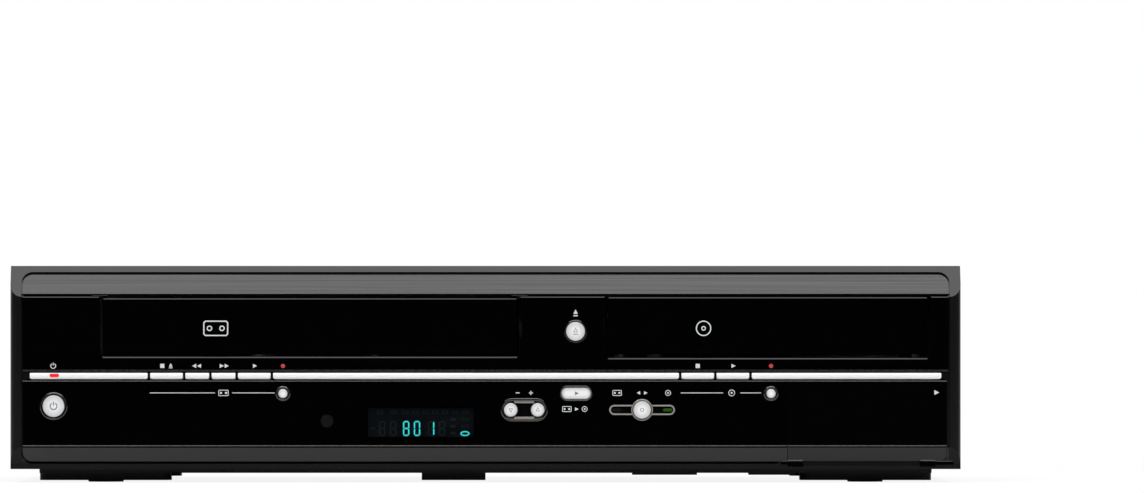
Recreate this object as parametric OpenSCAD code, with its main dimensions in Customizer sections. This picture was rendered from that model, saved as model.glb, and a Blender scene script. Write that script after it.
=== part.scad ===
// Full-width recorder deck with a cassette slot at the left and a disc tray at the right.
// X runs along the front, Y to the back, Z up. The origin is on the floor under the middle.

/* [Housing] */
// Width of the front bezel
body_w = 430; // [424:1:440]
// Height of the front bezel
panel_h = 92; // [90:1:98]
// Depth from the front panel plane to the rear panel
body_d = 261; // [255:1:285]
// Gap under the housing that the feet make
foot_h = 6; // [5:0.5:10]
// How far the chassis pan hangs below the housing
pan_drop = 1.9; // [1.5:0.1:2.4]
// Depth of the bezel moulding
bezel_d = 24; // [22:0.5:27]
// Wall of the bezel moulding
bezel_wall = 2.4; // [2:0.1:3]
// Plate of the bezel that carries the fascias
plate_t = 2.5; // [2:0.1:3]
// Thickness of the fascias that lie on the bezel plate
fascia_t = 2; // [1.6:0.1:2.2]
// Rounding of the bezel's upright front edges
edge_r = 5; // [2:0.5:8]
// Height of the sloped visor at the top of the front
visor_h = 14; // [12:0.5:16]
// How far the visor leans back
visor_run = 12; // [9:0.5:13]
// Height of the sloped lip at the bottom of the front
lip_h = 10; // [9.5:0.5:11]
// How far the lip leans back
lip_run = 6; // [5:0.5:7]
// Steel sheet of the cover, chassis and rear panel
sheet_t = 1; // [0.8:0.1:1.2]
// How far the cover stands in from the bezel's sides and top
cover_inset = 2.2; // [2:0.1:3]
// How far the rear jacks stand out
jack_proud = 9; // [8:0.5:12]

/* [Front frame] */
// Width of the frame at the sides of the front
frame_side = 5; // [4.5:0.1:6]
// Height of the frame strip at the top
frame_top = 2.8; // [2.4:0.1:3.2]
// Height of the frame strip at the bottom
frame_bottom = 2.4; // [2:0.1:2.8]
// Corner radius of the frame's inner outline
pocket_r = 5; // [3:0.5:7]
// Gap between the frame and the fascias at the sides
groove_side = 0.7; // [0.4:0.1:1]
// Gap between the frame and the band at the top
groove_top = 1.3; // [0.8:0.1:1.6]
// Groove between the frame and the lip at the bottom
groove_bottom = 1.1; // [0.8:0.1:1.4]
// Joint between the band and the upper fascia
band_gap = 1.3; // [1.2:0.1:1.6]
// Thickness of the brushed band
band_t = 1.2; // [1:0.1:1.4]
// Gap between pieces that lie beside each other in the front
seam = 0.3; // [0.2:0.05:0.4]
// Chamfer on the edges of the fascias, flap, tray front and door
edge_cut = 0.4; // [0.3:0.05:0.5]
// Chamfer on the rims of the cassette and tray openings
rim_cut = 0.7; // [0.5:0.05:0.8]
// How far the flap and the tray front lie behind the fascia
plate_sink = 0.5; // [0.3:0.05:0.6]

/* [Chrome strip] */
// Height of the chrome strip and its buttons
strip_h = 3.3; // [3:0.1:3.8]
// Height of the strip's middle above the housing's lower edge
strip_rise = 42.4; // [42:0.1:43]
// How far the strip stands out of the front
strip_proud = 1.5; // [1:0.1:1.6]
// Gap between the strip's bars and its buttons
strip_gap = 1.2; // [0.8:0.1:1.4]
// Distance of the strip's ends from the housing's sides
strip_end = 9; // [8:0.1:10]
// Length of the left bar
left_bar = 53.2; // [52:0.1:54]
// Length of the right bar
right_bar = 85.6; // [85:0.1:88]
// Width of the stop and play buttons in the strip
wide_key = 14.7; // [14:0.1:15]
// Width of the rewind and forward buttons in the strip
narrow_key = 10.7; // [10:0.1:11]

/* [Cassette slot] */
// Width of the front left of the slot
slot_left = 40.7; // [40:0.1:42]
// Width of the front between the slot and the tray slot
land_w = 38.9; // [38:0.1:40]
// Width of the slot
slot_w = 189.7; // [189:0.1:191]
// Height of the slot
slot_h = 27; // [27:0.1:27.4]
// Gap at the flap's ends
flap_end_gap = 1.3; // [1:0.1:1.5]
// Gap at the flap's lower edge
flap_low_gap = 0.9; // [0.6:0.1:1.2]
// Gap at the flap's upper edge
flap_top_gap = 0.8; // [0.6:0.1:1]
// Thickness of the flap
flap_t = 2; // [1.6:0.1:2.2]
// Radius of the flap's pivot pins
flap_pin_r = 0.7; // [0.6:0.05:0.8]
// Length of the flap's pivot pins
flap_pin_l = 4; // [3:0.5:5]

/* [Disc tray] */
// Width of the front right of the tray slot
tray_right = 14; // [13:0.1:15]
// Width of the tray slot
tray_slot_w = 146.7; // [146:0.1:148]
// Height of the tray slot
tray_slot_h = 27.6; // [27:0.1:28]
// Gap at the tray front's ends
tray_end_gap = 0.9; // [0.6:0.1:1.2]
// Gap at the tray front's lower edge
tray_low_gap = 1.5; // [1:0.1:1.8]
// Thickness of the tray front
tray_front_t = 3.2; // [2.8:0.1:3.6]
// Width of the tray
tray_w = 130; // [128:0.5:131]
// Length of the tray
tray_l = 150; // [148:0.5:152]
// Thickness of the tray
tray_t = 5; // [4.6:0.1:5.4]
// Height of the tray's underside above the tray slot's lower edge
tray_rise = 6; // [5.6:0.1:6.2]
// Radius of the well for a full-size disc
disc_r = 60.6; // [60.2:0.1:61]
// Radius of the deeper well for a small disc
small_disc_r = 40.6; // [40.2:0.1:41]
// Depth of each step of the disc well
well_step = 1.3; // [1.1:0.1:1.4]
// Running gap of the tray in its guides
guide_gap = 0.3; // [0.25:0.05:0.4]
// Gear module of the tray's rack and pinion
gear_m = 1; // [0.9:0.05:1.05]
// Number of teeth on the pinion
pinion_teeth = 16; // [14:1:18]
// Free play between the rack's and pinion's teeth
backlash = 0.3; // [0.25:0.05:0.4]

/* [Input door] */
// Distance of the door from the housing's right side
door_right = 6.5; // [6.3:0.1:7]
// Width of the door
door_w = 71.7; // [71:0.1:73]
// Thickness of the door
door_t = 2.4; // [2.2:0.1:2.6]
// Height of the door's pivot above the housing's lower edge
door_axis_rise = 3.2; // [3:0.1:3.4]
// Radius of the door's hinge barrels
door_barrel_r = 1.8; // [1.6:0.1:1.9]
// Radius of the door's pivot pins
door_pin_r = 1; // [0.8:0.1:1.1]
// Length of the door's pivot pins
door_pin_l = 3; // [2.5:0.1:3.2]
// Running gap round the door and in its pin holes
door_gap = 0.25; // [0.2:0.05:0.3]

/* [Buttons] */
// How far the round buttons stand out of the front
button_proud = 1.6; // [1.2:0.1:1.8]
// How far the button rings stand out of the front
ring_proud = 0.6; // [0.3:0.1:0.8]
// How far every button travels
key_travel = 0.8; // [0.6:0.1:0.9]
// Gap between a button and its hole
key_gap = 0.25; // [0.2:0.05:0.3]
// Width of the flange that holds a button behind the plate
key_flange = 1.2; // [1:0.1:1.3]
// Thickness of that flange
flange_t = 1; // [0.8:0.1:1.2]
// Power button: place from the left side, and height above the lower edge
power_at = [19.7, 28.5];
// Diameter of the power button
power_d = 10.1; // [9.5:0.1:10.6]
// Diameter of the power button's ring
power_ring_d = 12.9; // [12.4:0.1:13.4]
// Cassette record button: place from the left side, and height above the lower edge
tape_record_at = [123.4, 34.2];
// Disc record button: distance from the input door, and height above the lower edge
disc_record_at = [7.7, 34.2];
// Diameter of the record buttons
record_d = 4.2; // [4:0.1:4.6]
// Diameter of the record buttons' rings
record_ring_d = 7.2; // [7:0.1:7.6]
// Open and close button: distance from the cassette slot, and height above the lower edge
open_at = [25.3, 62.3];
// Diameter of the open and close button
open_d = 8.8; // [8.4:0.1:9]
// Diameter of the open and close button's ring
open_ring_d = 10.6; // [10.4:0.1:11]
// Channel button pair: middle's place, and height above the lower edge
channel_at = [17.5, 26.8];
// Distance between the channel buttons
channel_pitch = 12.2; // [12:0.1:12.6]
// Diameter of the channel buttons
channel_d = 6.1; // [5.8:0.1:6.2]
// Size of the pill-shaped plate round the channel buttons
channel_pill = [21.6, 10.7];
// Dubbing button: place from the middle, and height above the lower edge
dubbing_at = [41, 34.3];
// Size of the pill-shaped dubbing button
dubbing_key = [13, 5.2];
// Size of the dubbing button's surround
dubbing_pill = [14.9, 7];
// Select button: place from the middle, and height above the lower edge
select_at = [70.8, 26.8];
// Diameter of the select button
select_d = 8.3; // [8:0.1:8.6]
// Diameter of the select button's ring
select_ring_d = 10; // [9.8:0.1:10.4]
// Size of the pill-shaped light bar behind the select button
select_pill = [29.9, 4.8];
// Size of the indicator lenses
lens = [4.4, 1.6];

/* [Display] */
// Display window: middle's place, and height above the lower edge
window_at = [-29.3, 21.1];
// Size of the display window
window = [50.8, 16.2];
// Ledge of the plate that the window lies on
window_ledge = 1.5; // [1:0.1:2]
// Receiver window: place from the middle, and height above the lower edge
receiver_at = [-71.7, 21.8];
// Diameter of the receiver window
receiver_d = 5.9; // [5.6:0.1:6.2]

/* [Feet] */
// Size of a foot block
foot = [59.5, 26];
// Distance of the foot blocks from the housing's sides
foot_side = 12.5; // [12:0.5:18]
// Distance of the front feet from the bezel's back edge, and of the rear feet from the rear panel
foot_inset = 4; // [2:0.5:12]
// Diameter of the foot pads
pad_d = 16; // [14:0.5:20]
// How far the pads stand out under the foot blocks
pad_proud = 0.8; // [0.6:0.1:1.2]
// Depth of the pads' seats in the foot blocks
pad_seat = 1; // [0.8:0.1:1.4]
// Width and depth of the middle support
support = [29, 12];
// Corner radius of the foot blocks
foot_r = 4; // [2:0.5:6]

/* [Boards] */
// Distance of the front board from the panel plane
board_y = 12; // [11.5:0.1:12.5]
// Thickness of the circuit boards
board_t = 1.6; // [1.4:0.1:1.8]
// Height of the main and power boards above the chassis
board_rise = 6; // [5:0.5:8]
// Size of a tact switch
switch = [6, 3.4];
// Depth of the front input recess
recess_d = 14; // [13:0.5:15]

/* [Cassette deck] */
// Height of the deck plate above the chassis
deck_rise = 20; // [19:0.5:21]
// How far the cassette holder slides in
holder_travel = 30; // [26:1:32]
// How far the lift plates go down
lift_travel = 24; // [23:0.5:24.5]
// Depth of the cassette holder
holder_d = 90; // [86:1:92]
// Diameter of the head drum
drum_d = 62; // [61:0.5:63]
// Distance between the reels
reel_pitch = 92; // [91:0.5:93]

/* [Hidden] */
$fn = 48;
cut = 1;
front_proud = max(button_proud, strip_proud);
panel_y = (front_proud - body_d - jack_proud) / 2;
base_z = foot_h;
top_z = base_z + panel_h;
visor_z = top_z - visor_h;
lip_z = base_z + lip_h;
strip_z = base_z + strip_rise;
plate_back = fascia_t + plate_t;

// Outlines on the front
pocket_x = body_w / 2 - frame_side;
pocket_z0 = base_z + frame_bottom;
pocket_z1 = top_z - frame_top;
insert_x = pocket_x - groove_side;
insert_z0 = pocket_z0 + groove_bottom;
insert_z1 = pocket_z1 - groove_top;
upper_z0 = strip_z + strip_h / 2 + seam;
lower_z1 = strip_z - strip_h / 2 - seam;
land_share = (body_w - slot_w - tray_slot_w) / (slot_left + land_w + tray_right);
slot_x0 = -body_w / 2 + slot_left * land_share;
slot_x1 = slot_x0 + slot_w;
slot_mid = (slot_x0 + slot_x1) / 2;
slot_z0 = visor_z - slot_h;
tray_x1 = body_w / 2 - tray_right * land_share;
tray_x0 = tray_x1 - tray_slot_w;
tray_mid = (tray_x0 + tray_x1) / 2;
tray_z0 = visor_z - tray_slot_h;
door_x1 = body_w / 2 - door_right;
door_x0 = door_x1 - door_w;
door_mid = (door_x0 + door_x1) / 2;
door_axis_y = lip_run - 1.4;
door_axis_z = base_z + door_axis_rise;
opening_r = 1.2;

// Flap pivot, just under the band
flap_axis_y = 2.1;
flap_axis_z = visor_z + 0.3;

// Places of the buttons on the front, as x and z
function at(place) = [place[0], base_z + place[1]];
power_p = at(power_at) - [body_w / 2, 0];
tape_record_p = at(tape_record_at) - [body_w / 2, 0];
disc_record_p = [door_x0 - disc_record_at[0], base_z + disc_record_at[1]];
open_p = [slot_x1 + open_at[0] * land_share, base_z + open_at[1]];
channel_p = at(channel_at);
channel_down_p = channel_p - [channel_pitch / 2, 0];
channel_up_p = channel_p + [channel_pitch / 2, 0];
dubbing_p = at(dubbing_at);
select_p = at(select_at);
window_p = at(window_at);
receiver_p = at(receiver_at);

// Chrome strip: bars and keys follow each other from both ends
strip_x0 = -body_w / 2 + strip_end;
strip_x1 = body_w / 2 - strip_end;
tape_stop_x = strip_x0 + left_bar + strip_gap;
tape_rewind_x = tape_stop_x + wide_key + strip_gap;
tape_forward_x = tape_rewind_x + narrow_key + strip_gap;
tape_play_x = tape_forward_x + narrow_key + strip_gap;
middle_bar_x0 = tape_play_x + wide_key + strip_gap;
disc_play_x = strip_x1 - right_bar - strip_gap - wide_key;
disc_stop_x = disc_play_x - strip_gap - wide_key;
middle_bar_x1 = disc_stop_x - strip_gap;
strip_keys = [[tape_stop_x, wide_key], [tape_rewind_x, narrow_key], [tape_forward_x, narrow_key],
              [tape_play_x, wide_key], [disc_stop_x, wide_key], [disc_play_x, wide_key]];
strip_lens_p = [strip_x0 + 11, strip_z];
round_keys = [[power_p, power_d], [tape_record_p, record_d], [disc_record_p, record_d], [open_p, open_d],
              [channel_down_p, channel_d], [channel_up_p, channel_d], [select_p, select_d]];
strip_switches = [for (k = strip_keys) [k[0] + k[1] / 2, strip_z]];
switch_points = concat([for (k = round_keys) k[0]], strip_switches, [dubbing_p]);
plunger_l = 1;
stem_d = 3;
stem_end = board_y - switch[1] - plunger_l - key_travel - 0.05;

key_edge = 0.6;
fit = 0.1;
pin_gap = 0.1;
shaft_gap = 0.08;
strip_corner_r = 1;
lens_ledge = 0.6;
pill_sink = 0.6;
pill_rim = 0.8;
lens_sink = 0.3;
select_lens_x = select_pill[0] / 2 - lens[0] / 2 - 1.2;
lens_points = [strip_lens_p, select_p - [select_lens_x, 0], select_p + [select_lens_x, 0]];

// Front board and its bosses on the bezel, as x and height above the lower edge
boss_d = 6;
boss_in = [33, 105];
boss_points = [[boss_in[0] - body_w / 2, 18], [boss_in[1] - body_w / 2, 18], [-64, 38], [3, 38],
               [door_x0 - 37, 20], [door_x0 - 15, 20], [open_p[0] + 5.3, 50]];

// Notch beside the flap, flap humps, lugs and score lines
notch = [1.2, 7.4];
notch_z = slot_z0 + 8.6;
hump_x = [29.5, 130.3];
hump = [10, 1.2];
hump_r = (pow(hump[0] / 2, 2) + pow(hump[1], 2)) / (2 * hump[1]);
flap_room = 2.2;
lug_w = 2;
lug_r = 0.9;
lug_l = 2;
score_in = 14.5;
score_w = 0.7;
score_end = 5;
score_depth = 0.4;

// Input door hinge and the recess behind it
door_relief_y = door_axis_y + door_barrel_r + 0.6;
cheek_w = 4;
barrel_l = 6.8;
barrel_in = 5;
recess_wall = 1.5;
recess_z0 = lip_z - 4;
recess_z1 = lower_z1 - recess_wall;
sleeve_d = 8.3;
sleeve_bore = sleeve_d - 4;
input_block = [door_w - 8, 8.5, 14];
input_hole_d = sleeve_d + 0.4;
input_proud = 8;
input_points = [for (i = [-2:2]) [door_mid + i * 12.6, recess_z0 + 12]];

// Disc tray, its loader and what turns and slides in it
tray_bottom = tray_z0 + tray_rise;
tray_top = tray_bottom + tray_t;
disc_y = tray_front_t + 10 + disc_r;
hub_slot = [34, 80];
grip_x = 48;
grip_y = 48;
grip_d = 22;
rack_x0 = tray_mid - tray_w / 2 + 2.2;
rack_pitch_x = rack_x0 + 2.5 + 1.25 * gear_m;
rack_h = 3.4;
pinion_x = rack_pitch_x + gear_m * pinion_teeth / 2;
pinion_y = tray_front_t + 1.1 + gear_m * (pinion_teeth / 2 + 1);
post_d = 4;
loader_wall = 2.2;
loader_y0 = plate_back + 1.5;
rear_room = 75;
loader_y1 = body_d - rear_room;
loader_z0 = recess_z1 + recess_wall + 0.8;
loader_z1 = tray_top + 12;
board_top_z = upper_z0 + 2;
shelf_y = board_y + board_t + 1.4;
shelf_z = board_top_z + 1.2;
shelf_d = 20;
ledge_h = 1.6;
ledge_w = 1.6;
motor_d = 26;
motor_h = 7;
table_t = 2;
hub_d = 14.8;
spindle_d = 3;
rod_d = 3;
rod_pitch = 44;
rod_z = loader_z0 + loader_wall + rod_d + 1.1;
rod_y0 = disc_y + motor_d / 2 + 2;
sled_y0 = rod_y0 + loader_wall + 1;
sled_d = 20;
sled_travel = 30;
rod_y1 = sled_y0 + sled_d + sled_travel + 1 + loader_wall;
puck_d = 24;
puck_drop = 4;
bridge_d = 40;

// Cassette deck
stud_d = 4;
stud_gap = 0.3;
cassette_room = 26.2;
holder_y0 = flap_axis_y + slot_h + 2;
holder_in = slot_w / 2;
holder_x = holder_in + sheet_t;
holder_z0 = slot_z0 - sheet_t;
holder_z1 = slot_z0 + cassette_room + sheet_t;
holder_stud_z = slot_z0 + 17;
holder_stud_in = [14, 74];
holder_stud_y = [for (y = holder_stud_in) holder_y0 + y];
ledge_in = 10;
window_pitch = 60;
lift_x = holder_x + stud_gap;
lift_y0 = holder_y0 + 6;
lift_y1 = holder_y0 + holder_d + holder_travel + 4;
lift_z0 = slot_z0 - sheet_t;
lift_stud_z = slot_z0 + 5;
lift_stud_y = [lift_y0 + 20, lift_y1 - 16];
bridge_w = 9;
flange_x = lift_x + sheet_t + stud_gap;
chassis_z = base_z + sheet_t;
deck_z = chassis_z + deck_rise;
deck_top = deck_z + sheet_t;
deck_y0 = bezel_d + 10;
reel_y = holder_y0 + holder_travel + 38;
reel_r = 29;
reel_t = 2.5;
reel_h = 15;
reel_hub_d = 22;
drum_y = lift_y1 + drum_d / 2 + 4;
drum_tilt = 6;
lower_drum_h = 18;
head_drum_h = 18;
drum_shaft_d = 6;
shaft_l = 12;
deck_y1 = drum_y + drum_d / 2 + 6;
capstan_at = [60, 6];
capstan_p = [slot_mid, lift_y1] + capstan_at;
bearing_h = 9;
capstan_l = 30;
flywheel_d = 50;
flywheel_t = 6;

// Boards and rear sockets
board_z = chassis_z + board_rise;
main_x0 = slot_mid + flange_x + sheet_t + 6;
main_x1 = body_w / 2 - 7;
main_w = main_x1 - main_x0;
power_x0 = main_x0 + 0.57 * main_w;
power_y0 = loader_y1 + 6;
part_z = board_z + board_t;
shield = [50, 46, 7];
shield_at = [50, 40];
processor = [18, 18, 2];
processor_at = [115, 30];
header = [40, 8, 10];
header_at = [110, 90];
small_cap = [9, 14];
small_cap_y = 120;
small_cap_x = [0.11, 0.19, 0.82, 0.9];
transformer = [32, 26, 27];
transformer_at = [8, 10];
core = [42, 14, 22];
core_at = [3, 16];
tall_cap = [9, 20];
tall_cap_at = [[25, 22], [13, 22]];
mains_cap = [18, 32];
mains_cap_at = [17, 38];
sink = [54, 2, 36];
sink_at = [4, 3];
fin = [1.6, 6];
fin_pitch = 5.8;
fin_count = 10;
scart = [46, 11.6];
scart_wall = 1.2;
scart_proud = 4;
scart_depth = 9;
scart_body = 22;
scart_flange = 1.5;
scart_corner = 5;
scart_foot = [40, 16];
scart_in = 76;
scart_rise = [12, 31];
scart_x = main_x0 + scart_in;
scart_z = [for (rise = scart_rise) part_z + rise];
phono_block = [44, 13];
phono_flange = 1.4;
phono_in = 24;
phono_rise = [11, 27];
phono_pitch = 14;
phono_x = main_x0 + phono_in;
phono_z = [for (rise = phono_rise) part_z + rise];
phono_points = [for (z = phono_z, i = [-1:1]) [phono_x + phono_pitch * i, z]];
tuner = [56, 30, 40];
tuner_in = 65;
tuner_rise = 2;
tuner_x = tuner_in - body_w / 2;
tuner_z0 = deck_top + tuner_rise;
aerial_d = 9.6;
aerial_wall = 0.8;
aerial_pin_d = 2.4;
aerial_rise = 22;
aerial_points = [for (i = [-1, 1]) [tuner_x + tuner[0] / 4 * i, tuner_z0 + aerial_rise]];
inlet = [16, 8.6];
inlet_wall = 2.5;
inlet_body = 18;
inlet_flange = [12, 8, 1.6];
inlet_depth = 13;
inlet_foot = [16, 10];
inlet_pin = [2.4, 4.3];
inlet_in = 30;
inlet_rise = 13;
inlet_p = [body_w / 2 - inlet_in, part_z + inlet_rise];
fan_at = [34, 65.5];
fan_p = at(fan_at);
fan_w = 40;
fan_t = 10;
fan_bore = fan_w - 2;
fan_hub_d = 16;
fan_back_t = 1.5;
fan_hole_d = 3.4;
fan_hole_in = 4;
fan_y0 = body_d - sheet_t - fan_t;
fan_slot = [5, 3];
blade_count = 7;
blade = [8, 1.2];
blade_turn = 40;

// Cover, chassis, feet and screws
cover_x = body_w / 2 - cover_inset;
cover_z = top_z - cover_inset;
inner_x = cover_x - sheet_t - fit;
fold_h = 14;
rear_fold_h = 7;
post_foot_d = 8;
standoff_d = 6;
deck_posts = [for (x = [-1, 1], y = [deck_y0 + 8, deck_y1 - 8]) [slot_mid + 90 * x, y]];
loader_posts = [for (x = [-1, 1], y = [loader_y0 + 36, loader_y1 - 8]) [tray_mid + 60 * x, y]];
board_in = 5;
board_side = 12;
board_post_y = [deck_y0 + board_in, loader_y1 - 4];
board_posts = concat([for (x = [main_x0 + board_in, main_x1 - board_side], y = board_post_y) [x, y]],
                     [for (x = [power_x0 + board_in, main_x1 - board_side]) [x, body_d - 14]]);
vent = [18, 3];
vent_pitch = 7;
vent_count = 12;
vent_x = [slot_mid - 40, slot_mid + 20, tray_mid - 20, tray_mid + 30];
vent_back = 16;
side_vents = 14;
side_vent_rise = [40, 64];
side_vent_z = [for (rise = side_vent_rise) base_z + rise];
screw_d = 3;
screw_l = 6;
screw_head_d = 7.5;
screw_head_h = 1.8;
side_screw_in = [20, 30];
side_screw_z = base_z + 4.5;
side_screws = [for (y = [bezel_d + side_screw_in[0], body_d - side_screw_in[1]]) [y, side_screw_z]];
rear_screw_in = [21.7, 16.7];
rear_screw_mid = [-60, 70];
rear_screw_x = concat(rear_screw_in[0] - inner_x, rear_screw_mid, inner_x - rear_screw_in[1]);
rear_screws = [for (x = rear_screw_x) at([x, 4])];
support_x = -14.5;
pan_z = base_z - pan_drop;
pan_x = body_w / 2 - foot_side;
pan_y1 = body_d - 2 * sheet_t;
bosses_under = [[66.7, 96], [119.6, 141]];
boss_under_in = [2, 20];
boss_under_y = [for (y = boss_under_in) bezel_d + y];
boss_under_h = 0.9;
foot_x = body_w / 2 - foot_side - foot[0] / 2;
foot_y = foot_inset + foot[1] / 2;
foot_points = [for (x = [-1, 1], y = [bezel_d + foot_y, body_d - foot_y]) [x * foot_x, y]];

// Rounded rectangle, middle at the origin
module rounded(w, h, r) {
  square([w - 2 * r, h], center = true);
  square([w, h - 2 * r], center = true);
  for (x = [-1, 1], y = [-1, 1])
    translate([x * (w / 2 - r), y * (h / 2 - r)]) circle(r);
}

// Pill outline, middle at the origin
module pill(w, h) {
  square([w - h, h], center = true);
  for (x = [-1, 1]) translate([x * (w - h) / 2, 0]) circle(h / 2);
}

// Rectangle between two corners
module span(x0, x1, y0, y1) {
  translate([x0, y0]) square([x1 - x0, y1 - y0]);
}

// Box between two corners
module block(x0, x1, y0, y1, z0, z1) {
  translate([x0, y0, z0]) cube([x1 - x0, y1 - y0, z1 - z0]);
}

// Pushes an outline drawn in X and Z along Y
module along_y(y0, y1) {
  translate([0, y1, 0]) rotate([90, 0, 0]) linear_extrude(y1 - y0) children();
}

// Pushes an outline drawn in Y and Z along X
module along_x(x0, x1) {
  translate([x0, 0, 0]) rotate([90, 0, 90]) linear_extrude(x1 - x0) children();
}

// Rod along Y at a place on the front
module rod_y(p, d, y0, y1) {
  translate([p[0], 0, p[1]]) along_y(y0, y1) circle(d = d);
}

// Rod along X at a place given as y and z
module rod_x(p, r, x0, x1) {
  translate([0, p[0], p[1]]) along_x(x0, x1) circle(r);
}

// Front pieces are drawn with y = 0 on the panel plane
module on_front() {
  translate([0, panel_y, 0]) children();
}

// Lean of the visor and of the lip at a height
function visor_y(z) = visor_run * (z - visor_z) / visor_h;
function lip_y(z) = lip_run * (lip_z - z) / lip_h;

// Cutters for the chamfer along a front edge. The plate ends at z or x, towards the given side.
module edge_x(x0, x1, z, side, c = edge_cut) {
  along_x(x0, x1) polygon([[-c, z - 2 * side * c], [2 * c, z + side * c], [-c, z + side * c]]);
}
module edge_z(z0, z1, x, side, c = edge_cut) {
  translate([0, 0, z0]) linear_extrude(z1 - z0)
    polygon([[x - 2 * side * c, -c], [x + side * c, 2 * c], [x + side * c, -c]]);
}

// Cutters for all four edges of a plate
module plate_edges(x0, x1, z0, z1) {
  edge_x(x0 - cut, x1 + cut, z0, -1);
  edge_x(x0 - cut, x1 + cut, z1, 1);
  edge_z(z0 - cut, z1 + cut, x0, -1);
  edge_z(z0 - cut, z1 + cut, x1, 1);
}

// Cutters for the rim of an opening that is open at the top
module rim_edges(x0, x1, z0) {
  edge_x(x0 + opening_r, x1 - opening_r, z0, 1, rim_cut);
  edge_z(z0 + opening_r, visor_z, x0, 1, rim_cut);
  edge_z(z0 + opening_r, visor_z, x1, -1, rim_cut);
}

// Layer of the front between two depths behind its surface
module layer(t0, t1, x0, x1) {
  along_x(x0, x1) polygon([
    [t0 + lip_run, base_z], [t0, lip_z], [t0, visor_z], [t0 + visor_run, top_z],
    [t1 + visor_run, top_z], [t1, visor_z], [t1, lip_z], [t1 + lip_run, base_z]]);
}

// Outline of what lies inside the frame, between two heights
module insert_outline(z0, z1) {
  intersection() {
    translate([0, (insert_z0 + insert_z1) / 2])
      rounded(2 * insert_x, insert_z1 - insert_z0, pocket_r - groove_side);
    span(-body_w, body_w, z0, z1);
  }
}

// Outline of the cassette slot, open at the top of the upper fascia
module slot_outline() {
  translate([slot_mid, visor_z]) rounded(slot_w, 2 * slot_h, opening_r);
}

// Outline of the tray slot, open at the top of the upper fascia
module tray_outline() {
  translate([tray_mid, visor_z]) rounded(tray_slot_w, 2 * tray_slot_h, opening_r);
}

// Bezel without its pockets: side profile with rounded upright edges and an upright strip under the lip
module bezel_block() {
  strip_y = lip_y(pocket_z0);
  intersection() {
    along_x(-body_w / 2, body_w / 2) polygon([
      [strip_y, base_z], [strip_y, pocket_z0], [0, lip_z], [0, visor_z], [visor_run, top_z],
      [bezel_d, top_z], [bezel_d, base_z]]);
    translate([0, bezel_d, base_z - cut])
      linear_extrude(panel_h + 2 * cut) rounded(body_w, 2 * bezel_d, edge_r);
  }
}

// Space behind the bezel's plate
module bezel_hollow() {
  z0 = base_z + bezel_wall;
  z1 = top_z - bezel_wall;
  along_x(-body_w / 2 + bezel_wall, body_w / 2 - bezel_wall) polygon([
    [plate_back + lip_y(z0), z0], [plate_back, lip_z], [plate_back, visor_z],
    [plate_back + visor_y(z1), z1], [bezel_d + cut, z1], [bezel_d + cut, z0]]);
}

// Pocket for the fascias and the band, with the lip left standing
module bezel_pocket() {
  band_z0 = visor_z + band_gap;
  module outline(z0, z1) {
    intersection() {
      translate([0, (pocket_z0 + pocket_z1) / 2])
        rounded(2 * pocket_x, pocket_z1 - pocket_z0, pocket_r);
      span(-body_w, body_w, z0, z1);
    }
  }
  intersection() {
    layer(-cut, fascia_t, -body_w / 2, body_w / 2);
    along_y(-cut, bezel_d) difference() {
      outline(base_z, band_z0);
      insert_outline(insert_z0, lip_z - seam);
    }
  }
  intersection() {
    layer(-cut, band_t, -body_w / 2, body_w / 2);
    along_y(-cut, bezel_d) outline(band_z0, top_z);
  }
}

// Holes of the bezel's plate for buttons, window and lenses
module plate_holes() {
  hole = 2 * key_gap;
  for (k = round_keys) rod_y(k[0], k[1] + hole, -cut, plate_back + cut);
  along_y(-cut, plate_back + cut) {
    for (k = strip_keys)
      translate([k[0] + k[1] / 2, strip_z]) square([k[1] + hole, strip_h + hole], center = true);
    translate(dubbing_p) pill(dubbing_key[0] + hole, dubbing_key[1] + hole);
    translate(window_p) square(window - 2 * window_ledge * [1, 1], center = true);
    translate(receiver_p) circle(d = receiver_d - 2 * window_ledge);
    for (p = lens_points) translate(p) pill(lens[0] - lens_ledge, lens[1] - lens_ledge);
  }
}

// Cut for the input door: hinge room over the frame strip, notches under the barrels, door pocket and the
// recess behind
module door_cut() {
  x0 = door_x0 - door_gap;
  x1 = door_x1 + door_gap;
  block(x0, x1, -cut, door_relief_y, door_axis_z - door_pin_r - seam - pin_gap, lip_z + cut);
  block(x0, x1, -cut, door_t + seam, lip_z, lower_z1 + door_gap);
  for (x = [door_x0, door_x1 - barrel_in - barrel_l])
    block(x - door_gap, x + barrel_l + door_gap, -cut, door_relief_y,
          door_axis_z - door_barrel_r - seam, lip_z);
  block(door_x0 + recess_wall, door_x1 - recess_wall, -cut, bezel_d, recess_z0, recess_z1);
}

module front_bezel() {
  color([0.1, 0.1, 0.11]) on_front() difference() {
    union() {
      difference() {
        bezel_block();
        bezel_hollow();
        bezel_pocket();
        along_y(-cut, plate_back + visor_run / 2) intersection() {
          slot_outline();
          span(slot_x0, slot_x1, base_z, visor_z + flap_room);
        }
        along_y(-cut, plate_back + cut) intersection() {
          tray_outline();
          span(tray_x0, tray_x1, base_z, visor_z);
        }
        plate_holes();
        door_cut();
      }
      intersection() {
        bezel_block();
        for (x = [door_x0 - door_gap - cheek_w, door_x1 + door_gap])
          block(x, x + cheek_w, 0, door_relief_y, base_z, lip_z - seam);
      }
      for (p = boss_points) rod_y(at(p), boss_d, plate_back - fit, board_y);
    }
    rod_x([flap_axis_y, flap_axis_z], flap_pin_r + pin_gap,
          slot_x0 - flap_pin_l, slot_x1 + flap_pin_l);
    rod_x([door_axis_y, door_axis_z], door_pin_r + pin_gap,
          door_x0 - door_pin_l - seam, door_x1 + door_pin_l + seam);
  }
}

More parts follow.
